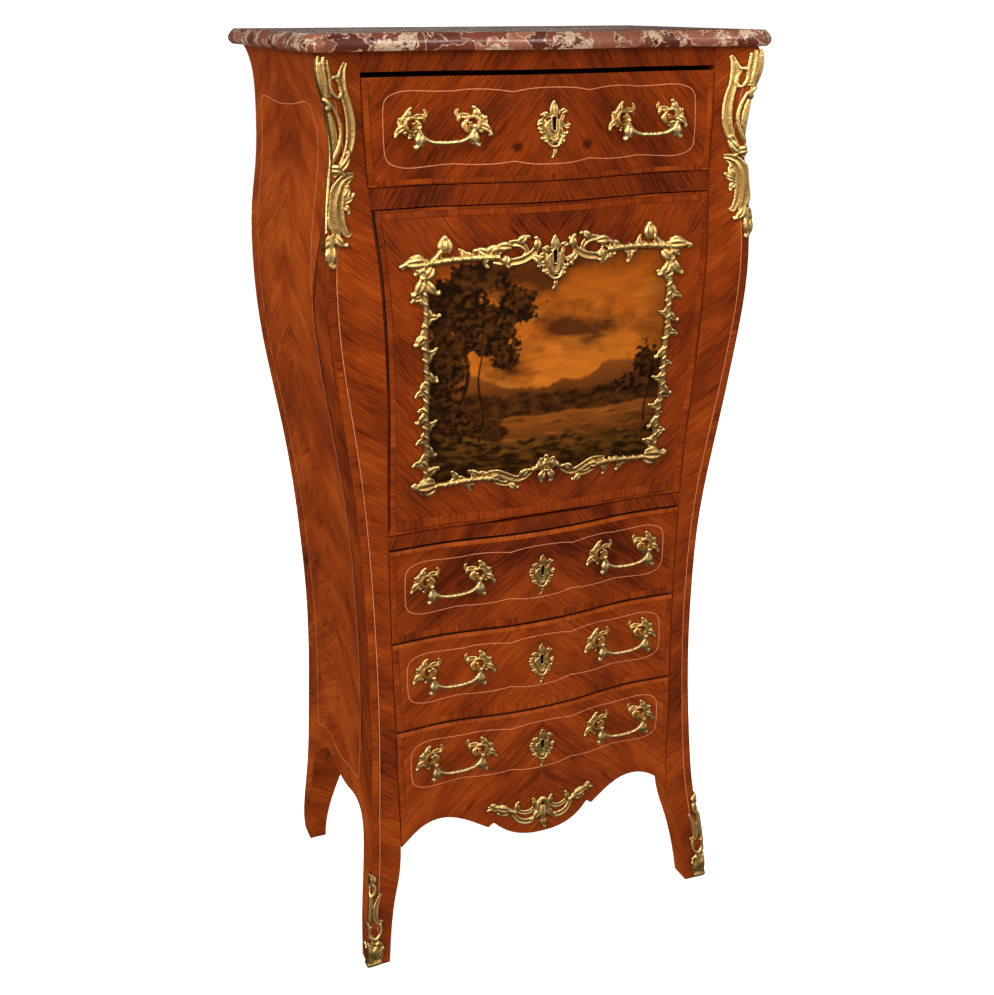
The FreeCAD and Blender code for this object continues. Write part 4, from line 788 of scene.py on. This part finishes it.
FRAME_HALF = (
    wound((-198, 160, 3.6), (-160, 165, 4.4), (-120, 166, 4), (-84, 165, 4.4))
    + fluted([(-92, 160, 6), (-74, 156, 8), (-52, 158, 8.5), (-36, 165, 8), (-27, 176, 6.5),
        (-24, 188, 4)])
    + fluted([(-88, 168, 5), (-76, 180, 7), (-58, 184, 7.5), (-45, 177, 6.5), (-42, 167, 5),
        (-50, 163, 4)], 0.6)
    + leaves((-66, 178, 160, 27, 9, 24, 1), (-54, 182, 70, 17, 8, -30, 1), (-72, 166, 240, 16, 8, 24, 1),
        (-30, 172, 60, 18, 8, 24, 1), (-34, 164, -30, 18, 8, -24, 1), (-104, 166, 60, 17, 8, -24, 0.8),
        (-186, 164, 178, 42, 10, 4, 0.8), (-192, 167, 146, 24, 8, 30, 1), (-190, 159, 214, 22, 8, -28, 1),
        (-180, 156, 244, 22, 10, -20, 1))
    + wound((-208, 147, 2.8), (-190, 157, 3.6), (-173, 170, 3.6), (-161, 183, 3))
    + leaves((-164, 174, 102, 23, 9, -18, 0.8), (-157, 174, 74, 23, 9, 18, 0.8))
    + wound((-192, 165, 3.6), (-195, 140, 4), (-191, 100, 3.8), (-194, 50, 4), (-190, 0, 3.8),
        (-192, -55, 4), (-188, -110, 3.8), (-190, -168, 3.6))
    + leaves((-196, 142, 262, 27, 10, -22, 1), (-190, 138, 285, 25, 10, 24, 1),
        (-193, 64, 252, 22, 8.5, -24, 1), (-190, 10, 282, 22, 8.5, 26, 1),
        (-192, -50, 256, 22, 8.5, -24, 1), (-188, -102, 278, 22, 8.5, 24, 1),
        (-188, -138, 120, 20, 9, 20, 1), (-186, -150, 60, 20, 9, -20, 1),
        (-174, -166, 186, 36, 13, -4, 0.8), (-176, -162, 156, 24, 10, 22, 1),
        (-174, -171, 224, 24, 10, -26, 1))
    + wound((-196, -170, 3.2), (-150, -168, 4.2), (-112, -164, 4), (-84, -166, 4.4))
    + fluted([(-102, -160, 6), (-82, -156, 7.5), (-66, -164, 8), (-48, -173, 8), (-31, -169, 7),
        (-20, -157, 5.5)])
    + fluted([(-90, -168, 5), (-76, -175, 6.5), (-60, -179, 6.5), (-47, -170, 5.5)], 0.4)
    + leaves((-74, -166, 165, 20, 8.5, 22, 1), (-42, -168, 62, 18, 8, -24, 1),
        (-58, -178, 300, 15, 7, 24, 0.8))
    + wound((-24, -161, 3.2), (-12, -152, 3.8), (0, -150, 4.2))
)
FRAME_FOOT = (
    leaves((0, -158, 90, 20, 9, 0, 1), (-6, -160, 130, 18, 8.5, -20, 1), (6, -160, 50, 18, 8.5, 20, 1),
        (-4, -164, 230, 18, 8.5, 20, 1), (4, -164, 310, 18, 8.5, -20, 1))
    + rod((0, -160, 5), (0, -164, 5))
)
LEFT_SPRIGS = (
    (-98, 168, 140, 30), (-132, 168, 110, 18), (-196, 116, 176, 24), (-190, 88, -14, 25),
    (-190, 34, 12, 22), (-194, 62, 186, 19), (-194, -18, 190, 22), (-191, -46, 168, 18),
    (-189, -72, 8, 21), (-192, -92, 188, 20), (-188, -2, -8, 17), (-191, -128, 174, 26),
    (-140, -164, 98, 23), (-108, -162, 120, 25), (-122, -170, 262, 17),
)
RIGHT_SPRIGS = (
    (-124, 162, -96, 25), (-84, 160, -70, 23), (-140, 168, 84, 17), (-190, 122, -8, 26),
    (-195, 92, 184, 25), (-190, 62, -6, 18), (-193, 34, 182, 24), (-190, -14, 178, 20),
    (-190, -40, -6, 22), (-189, -84, -12, 23), (-193, -66, 186, 18), (-188, -124, 172, 24),
    (-132, -168, -82, 23), (-100, -168, -112, 23),
)
FRAME_MIDDLE = 962.5
SPRIG_SCALE = 0.80
FALL_KEY_LEVEL = 1123.0
borders = {"left": list(FRAME_HALF), "right": list(FRAME_HALF),
           "middle": list(FRAME_FOOT) + shifted(PLATE, 0, FALL_KEY_LEVEL - FRAME_MIDDLE)}
for hand, sprigs in (("left", LEFT_SPRIGS), ("right", RIGHT_SPRIGS)):
    for u, v, angle, size in sprigs:
        borders[hand] += sprig(u, v, angle, size * SPRIG_SCALE)
flap = ground("fall_board", "fall_picture")
for hand, strokes in borders.items():
    strokes = mirrored(strokes) if hand == "right" else strokes
    shape = loaded(casting(strokes, grit=0.85, girth=1.15))
    lay(shape, flap, 0.0, FRAME_MIDDLE * MM)
    piece("fall_border_" + hand, [shape], "fall", *(["fall_frame"] if hand == "left" else []))
# Painted shade: the same near-black keyhole shape, laid in the keyhole of the fall.
shape = loaded(slot_shape)
lay(shape, flap, 0.0, FALL_KEY_LEVEL * MM)
piece("keyhole_fall", [shape], "fall", material=keyhole_shade, slot="steel")

# Corner mounts and sabots
# Long acanthus and scroll castings of gilt bronze, bent and pinned round the front corners, and shoes
# to match on the front feet. In both u runs from the corner inwards and v is the height.
CORNER = (
    rod((2, 1388, 8, -5), (5, 1366, 9, -5.6), (3, 1345, 8, -5))
    + rod((-9, 1392, 2.2), (-8, 1370, 2.8), (-8, 1352, 2.8), (-9, 1336, 2))
    + rod((-2, 1396, 2.6), (0, 1374, 3.2), (-1, 1354, 3), (-4, 1338, 2), lift=0.8)
    + rod((6, 1395, 2.4), (7.5, 1374, 3), (6, 1354, 2.8), (1, 1338, 2), lift=0.6)
    + rod((12, 1391, 2), (15, 1376, 2.6), (14, 1362, 2.4), (10, 1349, 2), lift=0.4)
    + rod((14, 1366, 2.4), (20, 1370, 2.8), (28, 1368, 2.8), (32, 1378, 2.4))
    + rod((13, 1362, 2), (12, 1352, 2.6), (17, 1343, 2.8), (25, 1346, 2.8), (28, 1356, 2.6),
        (24, 1366, 2.4), lift=0.4)
    + fluted([(40, 1387, 4), (36, 1380, 6.5), (33, 1370, 8), (30, 1358, 9), (29, 1348, 9)], 0.6)
    + fluted([(29, 1354, 8.5), (30, 1336, 9.5), (28.5, 1317, 10), (26, 1300, 10), (22, 1282, 9.5),
        (15.5, 1267, 8), (7, 1255, 6.5), (0, 1246, 5)], 0.8)
    + rod((-9, 1340, 2.2), (-3, 1344, 2.8), (4, 1339, 2.8), (3, 1331, 2.6), (-4, 1329, 2.4),
        (-7, 1334, 1.8), lift=1.4)
    + rod((-4, 1332, 6, -3.2), (-2, 1312, 8.5, -5), (-3, 1290, 8.5, -5), (-6, 1266, 5, -2.4))
    + rod((6, 1338, 2.2), (11, 1322, 2.6), (12, 1304, 2.8), (8, 1286, 2.6), (0, 1268, 2.2),
        (-6, 1256, 1.8), lift=0.8)
    + rod((-10, 1334, 2.2), (-13, 1312, 2.6), (-14, 1290, 2.6), (-13, 1268, 2.6), (-12, 1250, 2.4),
        lift=0.4)
    + leaves((6, 1252, 30, 28, 9, 24, 1), (-6, 1256, 10, 24, 8, -30, 1))
    + rod((-12, 1262, 3), (-14, 1246, 3.6), (-12, 1222, 3.2), (-9, 1198, 3), (-5, 1172, 2.6))
    + fluted([(30, 1246, 5), (18, 1246, 7.5), (8, 1238, 9), (3, 1222, 9.5), (2, 1204, 9.5), (5, 1186, 9),
        (11, 1172, 7), (15, 1164, 5)], 0.8)
    + fluted([(28, 1243, 4), (20, 1239, 6), (14, 1226, 7.5), (13, 1206, 8), (16, 1188, 8), (22, 1174, 7),
        (29, 1167, 5), (31, 1172, 3)], 0.5)
    + leaves((18, 1216, 42, 18, 7, 30, 0.6), (19, 1212, 10, 17, 6.5, 22, 0.6),
        (19, 1207, -20, 13, 6, -24, 0.4), (3, 1170, -104, 24, 8, -22, 0.6),
        (9, 1170, -66, 22, 8, 22, 0.6), (5, 1158, -94, 30, 9, 4, 0.8))
    + rod((4, 1172, 3.4), (5, 1156, 3.6), (5, 1136, 2.2))
)
SABOT = (
    leaves((0, 146, 96, 15, 6, 10, 0.6), (2, 144, 62, 15, 6, 30, 0.4), (-2, 144, 124, 13, 6, -20, 0.4))
    + rod((0, 147, 2), (6, 140, 2.4), (6.5, 130, 2.6), (1, 123, 2.6), (-5, 130, 2.4), (-5, 140, 2),
        lift=0.4)
    + rod((0, 126, 3.2), (0, 104, 3.6), (-1, 82, 3.2))
    + fluted([(16, 125, 3.5), (10, 112, 5.5), (7.5, 96, 6.5), (9.5, 82, 6.5), (16, 75, 5.5),
        (20, 80, 3)], 0.6)
    + rod((-4, 80, 4), (-4, 70, 4.2))
    + rod((2, 75, 2.2), (-2, 64, 2.6), (2, 53, 2.8), (10, 49, 2.8), (17, 56, 2.6), (19, 66, 2.4),
        (17, 74, 1.8), lift=0.4)
    + leaves((1, 16, 96, 30, 7, 0, 0.8), (5, 16, 70, 28, 7, 0, 0.6), (8, 16, 46, 22, 7, 0, 0.4),
        (-3, 16, 122, 26, 7, 0, 0.6))
    + fluted([(3, 47, 4), (14, 43, 6.5), (20, 30, 7), (18, 15, 7), (9, 6, 6)], 0.6)
    + rod((-10, 6, 5, -1.5), (6, 6, 5.5, -1.5), (20, 7, 5, -1.5))
    + rod((-2, 42, 8, -6), (2, 20, 10, -7.6), (4, 8, 9, -6.8))
)
ARRIS_FROM, ARRIS_STEP, ARRIS_STEPS, ARRIS_DROP = 0.24, 0.0005, 220, 0.002
CORNER_ROUND, FLOOR_CLEAR, NUDGE = 0.007, 0.0002, 0.0001


def arris(face, side, level):
    """Where the front corner of a post stands at this height."""
    corner = None
    for step in range(ARRIS_STEPS):
        reach = ARRIS_FROM + step * ARRIS_STEP
        found = front_y(face, side * reach, level)
        if corner and (found is None or found - corner[1] > ARRIS_DROP):
            break
        if found is not None:
            corner = reach, found
    return corner


def wrap(shape, face, side):
    """Bends a casting round a front corner: u above 0 lies on the front, below 0 on the side."""
    corners = {}
    for vert in shape.verts:
        u, level, height = vert.co
        level = max(level, FLOOR_CLEAR)
        key = round(level, 3)
        if key not in corners:
            corners[key] = arris(face, side, key + NUDGE)
        edge_x, edge_y = corners[key]
        lean = max(-1.0, min(1.0, u / CORNER_ROUND))
        out = Vector((side * (1 - lean), -(1 + lean), 0)).normalized()
        if u >= 0:
            found = front_y(face, side * (edge_x - u), level)
            base = Vector((side * (edge_x - u), edge_y if found is None else found, level))
        else:
            hit = face.ray_cast(Vector((side * 1.0, edge_y - u, level)), Vector((-side, 0, 0)))[0]
            base = Vector((side * edge_x if hit is None else hit.x, edge_y - u, level))
        vert.co = base + out * max(height, -SINK)
    bmesh.ops.recalc_face_normals(shape, faces=shape.faces)


posts = {-1: ground("front_left_post", "left_side"), 1: ground("front_right_post", "right_side")}
for node, strokes in (("corner_mounts", CORNER), ("sabots", SABOT)):
    cast = casting(strokes, grit=0.75, girth=1.25)
    for hand, side in HANDS:
        shape = loaded(cast)
        wrap(shape, posts[side], side)
        piece("%s_gilt_%s" % (node, hand), [shape], "carcase", *([node] if hand == "left" else []))

# Apron mount
# A spray of leaves and double scrolls in gilt bronze, cast in one and pinned to the shaped lower
# edge of the bottom drawer.
APRON_LEVEL = 212
APRON_HALF = (
    leaves((-56, 7, 166, 36, 9, -8, 0.6), (-60, 10, 146, 24, 7, 14, 0.6), (-66, 12, 172, 30, 7, 4, 0.8),
        (-58, 5, 200, 20, 7, -14, 0.4), (-74, 14, 150, 18, 5, 10, 0.6))
    + rod((-94, 18, 1.6), (-76, 13, 2.6), (-60, 8, 3.4), (-48, 2, 3.4))
    + fluted([(-53, 4, 5), (-49, -8, 6.5), (-38, -16.5, 7.5), (-24, -18.5, 7.5), (-12, -13, 6.5),
        (-8, -3, 5)], 0.6)
    + fluted([(-47, 5, 4.5), (-37, -1, 5.5), (-24, -2.5, 6), (-15, 3, 5), (-13, 9, 3)], 0.8)
    + leaves((-44, 4, 112, 16, 6, -22, 0.6), (-16, 6, 66, 15, 6, 20, 0.6))
    + rod((-10, 0, 3.2), (-9, 12, 3.6), (0, 19, 3.8), lift=0.6)
)
APRON_MIDDLE = (
    rod((0, 15, 4), (0, 22, 3.4))
    + leaves((0, 6, -94, 30, 9, 0, 1.2), (-4, 2, -116, 26, 8, -16, 0.8), (4, 2, -64, 26, 8, 16, 0.8),
        (0, -14, -92, 20, 8, 0, 1))
    + rod((0, 4, 5, -2), (0, -12, 6, -3))
)
shape = loaded(casting(APRON_HALF + mirrored(APRON_HALF) + APRON_MIDDLE, grit=0.7, girth=1.2))
lay(shape, fronts[4], 0.0, APRON_LEVEL * MM)
piece("apron_spray", [shape], "drawer_4", "apron_mount")

# Stringing and cross-banding
# Fine lines of pale boxwood and strips of cross-cut kingwood, let into the veneer of the fronts, the
# corners and the sides and glued. Near-black strips in the gaps above the lower drawers and beside the
# fall are painted shadow, and the lighter lip bands are a painted highlight.
LINE_HALF = 0.62
BAND_RISE, LINE_RISE, GAP_SHADE_RISE = 0.16, 0.22, 0.20
UNSEEN_X, UNSEEN_Y = 0.3, -0.19


def inlay(name, strokes, body, material, *faces, rise=BAND_RISE):
    """Flat strips along the strokes, on a front (u is x) or, given a side, on that flank (u is y)."""
    shapes = []
    for face, side in faces:
        shape = loaded(swept(strokes))
        for vert in shape.verts:
            u, v, height = vert.co
            proud = rise * MM * (1 if height > 0 else -1)
            if side:
                hit = face.ray_cast(Vector((side, u, v)), Vector((-side, 0, 0)))[0]
                vert.co = (hit.x + side * proud if hit else side * UNSEEN_X, u, v)
            else:
                found = front_y(face, u, v)
                vert.co = (u, UNSEEN_Y if found is None else found - proud, v)
        bmesh.ops.recalc_face_normals(shape, faces=shape.faces)
        shapes.append(shape)
    piece(name, shapes, body, material=material, slot="veneer")


def spaced(low, high, steps):
    """Levels spaced evenly from low to high."""
    return [low + (high - low) * step / steps for step in range(steps + 1)]


def upright(face, sides, levels, inset, half):
    """Strips along the upright edges of a front, this far in from the corners."""
    strokes = []
    for side in sides:
        corners = [arris(face, side, level * MM)[0] / MM for level in levels]
        strokes += rod(*[(side * (reach - inset), level, half) for reach, level in zip(corners, levels)])
    return strokes


def across(face, level, short, half, steps, seen_at=0.0):
    """A strip over the width of a front, this far short of the corners it has at the level seen."""
    reach = arris(face, 1, (seen_at or level) * MM)[0] / MM - short
    return rod(*[(reach * (2 * step / steps - 1), level, half) for step in range(steps + 1)])


boxwood, tree, shader = finish("boxwood_line", Specular_IOR_Level=0.2)
fibre = noise(tree, own_place(tree), (260, 260, 260), 2, 0.5)[0]
pale = shades(tree, fibre, (0.3, (0.40, 0.120, 0.045, 1)), (0.7, (0.64, 0.23, 0.100, 1)))
polish(tree, shader, pale, sums(tree, (fibre, 0.2), (0.28, 1.0)))
band_upright = kingwood("band_upright", 0, tone=-0.02, shift=(0.9, 0, 0))
band_level = kingwood("band_level", 90, tone=-0.01, shift=(0.2, 0.7, 0))
# Painted highlight: the lip bands are a lighter tone, for the light caught on the top edge of each drawer.
highlight_lip_band = kingwood("highlight_lip_band", 84, tone=0.07, shift=(0.5, 0.3, 0))
# Painted shadow: a mottled near-black finish for strips laid in the gaps between fronts, where shade
# falls.
painted_gap_shade, tree, shader = finish("painted_gap_shade", Specular_IOR_Level=0.1)
gap_shade_mottle = noise(tree, own_place(tree), (70, 70, 300), 3, 0.6)[0]
black = mix(tree, between(tree, gap_shade_mottle, 0.52, 0.75), (0.0012, 0.0008, 0.0006, 1), (0.030, 0.008, 0.003, 1))
polish(tree, shader, black, sums(tree, (gap_shade_mottle, 0.2), (0.5, 1.0)))
TOP_WAVE = (
    (0, 2.4), (0.13, 1.9), (0.235, -2.4), (0.245, -2.4), (0.36, 1.2), (0.50, 2), (0.575, -0.4),
    (0.585, -0.4), (0.70, -0.6), (0.86, 1.8), (0.95, -3), (0.99, -11), (1, -24),
)
LOW_WAVE = (
    (0, -2.8), (0.13, -2.2), (0.235, 2.6), (0.245, 2.6), (0.36, -0.6), (0.50, -0.6), (0.60, 1.6),
    (0.72, -1), (0.86, -3.4), (0.95, 1.4), (0.99, 9), (1, 22),
)
CARTOUCHES = {1: (238, 1348.5, 1252.5), 2: (221, 672.5, 589.5), 3: (221, 518.5, 438.5),
              4: (220, 368.5, 290)}
APRON_HEAD = 262
for number, (half, high, low) in CARTOUCHES.items():
    right = [(half * share, high + rise) for share, rise in TOP_WAVE]
    right += [(half * share, low + rise) for share, rise in reversed(LOW_WAVE)]
    loop = right + [(-u, v) for u, v in reversed(right)] + [right[0]]
    body, face = "drawer_%d" % number, fronts[number]
    inlay("stringing_%d" % number, rod(*[(u, v, LINE_HALF) for u, v in loop]), body, boxwood,
          (face, 0), rise=LINE_RISE)
    low_edge, high_edge = (corner.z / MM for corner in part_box("drawer_%d_front" % number))
    low_edge = max(low_edge, APRON_HEAD)
    levels = spaced(low_edge + 3, high_edge - (3 if number == 1 else 10), steps=8)
    ends = upright(face, (-1, 1), levels, inset=5.2, half=4.6)
    inlay("end_bands_%d" % number, ends, body, band_upright, (face, 0))
    if number > 1:
        under = high_edge - 8
        lip_band_and_highlight = across(face, high_edge - 6.2, short=1.5, half=3.6, steps=24, seen_at=under)
        inlay("lip_band_%d" % number, lip_band_and_highlight, body, highlight_lip_band, (face, 0))
        # Painted shadow: a near-black strip along the top edge of each lower drawer, for the shade in the
        # gap above it.
        top_gap_shade_strip = across(face, high_edge - 1.3, short=1.5, half=1.25, steps=24, seen_at=under)
        inlay("top_gap_shade_%d" % number, top_gap_shade_strip, body, painted_gap_shade, (face, 0), rise=GAP_SHADE_RISE)
    if number < 4:
        wide = 3.6 if number == 1 else 5.6
        foot = across(face, low_edge + wide + 0.8, short=11, half=wide, steps=4, seen_at=low_edge + 8)
        inlay("foot_band_%d" % number, foot, body, band_level, (face, 0))

FALL_LOW, FALL_HIGH, FALL_STEPS = 728.0, 1193.0, 18
edges = upright(flap, (-1, 1), spaced(FALL_LOW, FALL_HIGH, FALL_STEPS), inset=6.2, half=5.4)
inlay("fall_end_bands", edges, "fall", band_upright, (flap, 0))
ends = across(flap, FALL_LOW + 8, short=13, half=7.5, steps=8)
ends += across(flap, FALL_HIGH - 4, short=13, half=4.6, steps=8)
inlay("fall_level_bands", ends, "fall", band_level, (flap, 0))
levels = spaced(FALL_LOW + 6, FALL_HIGH + 4, FALL_STEPS)
# Painted shadow: a near-black strip down the left edge of the fall, widening upwards, for the shade in the
# gap.
left_gap_shade = upright(flap, (-1,), levels, inset=1.4, half=1.0)[0][1]
left_gap_shade = [(u, v, half + 0.4 * step / FALL_STEPS) for step, (u, v, half) in enumerate(left_gap_shade)]
inlay("fall_left_gap_shade", rod(*left_gap_shade), "fall", painted_gap_shade, (flap, 0), rise=GAP_SHADE_RISE)

levels = spaced(60, 1390, steps=40)
for hand, side in HANDS:
    for kind, inset, half, wood, rise in (("band", 6.4, 5.6, band_upright, BAND_RISE),
                                          ("line", 13.0, 0.6, boxwood, LINE_RISE)):
        strip = upright(posts[side], (side,), levels, inset, half)
        inlay("corner_%s_%s" % (kind, hand), strip, "carcase", wood, (posts[side], 0), rise=rise)

SIDE_LINE = (
    (180, 1300), (178, 1318), (170, 1327), (150, 1328), (114, 1325), (63, 1322), (8, 1324), (-45, 1329),
    (-76, 1333.5), (-100, 1332), (-113, 1324), (-119, 1299), (-121, 1240), (-121, 1100), (-119, 900),
    (-116, 700), (-113, 500), (-110, 380), (-106, 310), (-102, 287), (-92, 281), (-60, 280), (-26, 273),
    (8, 267), (42, 272), (77, 277), (115, 269), (140, 256), (150, 262), (153, 300), (158, 380),
    (164, 500), (170, 700), (175, 900), (179, 1100), (180, 1240), (180, 1300),
)
flanks = {-1: ground("left_side", "front_left_post", "rear_posts"),
          1: ground("right_side", "front_right_post", "rear_posts")}
inlay("side_stringing", rod(*[(u, v, LINE_HALF) for u, v in SIDE_LINE]), "carcase", boxwood,
      *[(face, side) for side, face in flanks.items()], rise=LINE_RISE)
border = kingwood("side_border", 0, tone=-0.09, shift=(0.4, 0.2, 0))
FRONT_RUN = tuple(zip(*reversed([(v, u) for u, v in SIDE_LINE if u < -103 and 300 < v < 1310])))
BORDER_LOW, BORDER_HIGH, BORDER_PAST = 285, 1240, 10
TAPER_LOW, TAPER_HIGH = 100, 190
CLEAR_OF_ARRIS, CLEAR_OF_LINE = 3.0, 1.0
for hand, side in HANDS:
    strip = []
    for level in spaced(BORDER_LOW, BORDER_HIGH, steps=40):
        wide = min(1.0, (level - BORDER_LOW + BORDER_PAST) / TAPER_LOW,
                   (BORDER_HIGH + BORDER_PAST - level) / TAPER_HIGH)
        front = arris(posts[side], side, level * MM)[1] / MM + CLEAR_OF_ARRIS
        reach = (float(numpy.interp(level, *FRONT_RUN)) - CLEAR_OF_LINE - front) * wide / 2
        strip.append((front + reach, level, reach))
    inlay("side_border_%s" % hand, rod(*strip), "carcase", border, (flanks[side], side))

# Painted panel
# A small landscape in oils on a thin board let into the fall, under an old amber varnish: an evening
# sky, trees, hills, a pool and a bank.
PANEL_HALF, PANEL_LOW, PANEL_HIGH = 186.0, 799.0, 1126.0
PANEL_ACROSS, PANEL_UP = 248, 218
PAINT_RISE, WITHIN = 0.00012, 0.999
CROWNS = (
    (0.09, 0.78, 0.17, 0.17), (0.24, 0.70, 0.15, 0.15), (0.04, 0.58, 0.13, 0.20),
    (0.35, 0.80, 0.10, 0.09), (0.17, 0.91, 0.17, 0.10), (0.30, 0.58, 0.08, 0.08),
    (0.95, 0.45, 0.09, 0.10), (0.88, 0.38, 0.08, 0.06), (0.14, 0.25, 0.12, 0.07), (0.03, 0.32, 0.09, 0.10),
)
VARNISH = Vector((0.73, 0.48, 0.24))
TRUNKS = ((0.125, 0.07, 0.013, 0.74), (0.215, -0.03, 0.009, 0.66), (0.955, -0.04, 0.008, 0.42))


def blur(a, b, stretch, seed):
    """Soft cloudy noise on the panel, about -1 to 1."""
    return mathutils.noise.fractal(Vector((a * stretch[0], b * stretch[1], seed)), 0.75, 2.1, 5)


def toward(first, second, share):
    """Goes from one paint to another."""
    return Vector(first).lerp(Vector(second), max(0.0, min(1.0, share)))


def paint(a, b):
    """The paint at a share across and a share up, laid on from the sky forward."""
    drag = blur(a, b, (9, 26), 3.1)
    tint = toward((0.58, 0.24, 0.034), (0.40, 0.125, 0.012), (b - 0.42) * 1.7 + 0.35 * abs(a - 0.68))
    cloud = blur(a, b, (3.2, 5.5), 1.7) * 1.25 + 0.5 * (b - 0.65) + 0.14
    tint = toward(tint, (0.10, 0.036, 0.008), cloud)
    tint = toward(tint, (0.68, 0.34, 0.068), blur(a, b, (2.6, 7.5), 9.4) * 0.9 - 0.20)
    ridge = 0.47 + 0.045 * blur(a, 0, (3.5, 0), 5.2) + 0.05 * math.cos(a * 7)
    far = toward((0.25, 0.096, 0.019), (0.12, 0.047, 0.010), (0.5 - b) * 8 + drag * 0.5)
    tint = toward(tint, far, (ridge - b) * 70)
    wood_line = 0.40 + 0.035 * blur(a, 0, (9, 0), 8.8) - 0.03 * a
    trees = toward((0.090, 0.040, 0.008), (0.026, 0.012, 0.003), 0.5 + blur(a, b, (24, 34), 6.3))
    tint = toward(tint, trees, (wood_line - b) * 60)
    shore = 0.285 + 0.010 * blur(a, 0, (9, 0), 2.2)
    wet = min((shore - b) * 90, (a - 0.30 - 0.10 * blur(a, b, (5, 9), 4.4)) * 30)
    pool = toward((0.29, 0.115, 0.019), (0.050, 0.022, 0.005), (shore - b) * 5.2)
    pool = toward(pool, (0.42, 0.19, 0.038), blur(a, b, (6, 62), 7.7) * 0.9 - 0.18)
    pool = toward(pool, (0.040, 0.018, 0.004), blur(a, b, (11, 44), 4.9) * 1.1 - 0.12)
    tint = toward(tint, pool, wet)
    bank = 0.15 + 0.10 * (1 - a) ** 2 + 0.05 * blur(a, 0, (7, 0), 1.3) + 0.05 * max(0.0, a - 0.75)
    lit = 0.50 + (bank - b) * 1.8 + blur(a, b, (16, 40), 2.9) * 1.1
    tint = toward(tint, toward((0.150, 0.080, 0.011), (0.020, 0.011, 0.002), lit), (bank - b) * 60)
    for start, lean, girth, height in TRUNKS:
        stem = start + lean * (b - 0.2) + 0.010 * math.sin(b * 19 + start * 40)
        shine = (a - stem) / girth * 0.8 + drag * 0.8
        bark = toward((0.016, 0.008, 0.003), (0.085, 0.042, 0.012), shine)
        if 0.17 < b < height:
            tint = toward(tint, bark, (girth * (1.2 - b) - abs(a - stem)) * 220)
    for across, up, wide, tall in CROWNS:
        inside = 1.0 - math.hypot((a - across) / wide, (b - up) / tall)
        thick = inside + 0.55 * blur(a, b, (15, 17), 3.3 + across) + 0.25 * blur(a, b, (52, 56), up)
        lit = blur(a, b, (44, 50), 6.6 + up) + 0.35 * inside + 1.4 * (a - across) + 0.8 * (b - up)
        foliage = toward((0.012, 0.006, 0.002), (0.105, 0.048, 0.008), lit + 0.10)
        tint = toward(tint, foliage, (thick - 0.10) * 9)
    edge = min(a, 1 - a, b, 1 - b)
    return toward(tint * (1.0 + 0.20 * drag), (0.014, 0.007, 0.002), 0.55 - edge * 4.4) * VARNISH


canvas = bmesh.new()
bmesh.ops.create_grid(canvas, x_segments=PANEL_ACROSS, y_segments=PANEL_UP, size=0.5)
tints = canvas.verts.layers.float_color.new("paint")
last = -0.2
for vert in canvas.verts:
    a, b = vert.co.x + 0.5, vert.co.y + 0.5
    vert[tints] = (*paint(a, b), 1.0)
    x, z = (2 * a - 1) * PANEL_HALF * MM, (PANEL_LOW + (PANEL_HIGH - PANEL_LOW) * b) * MM
    found = front_y(flap, x * WITHIN, z)
    last = last if found is None else found
    vert.co = (x, last - PAINT_RISE, z)
bmesh.ops.recalc_face_normals(canvas, faces=canvas.faces)
if canvas.faces[0].normal.y > 0:
    bmesh.ops.reverse_faces(canvas, faces=canvas.faces)
oils, tree, shader = finish("varnished_oils", Specular_IOR_Level=0.05)
pigment = wire(tree, "Attribute", attribute_name="paint").outputs["Color"]
brush = noise(tree, own_place(tree), (160, 160, 420), 4, 0.6)[0]
polish(tree, shader, pigment, sums(tree, (brush, 0.2), (0.26, 1.0)), brush, 0.18, 0.0006)
piece("painted_panel", [canvas], "fall", "fall_picture", material=oils, slot="painted_panel")
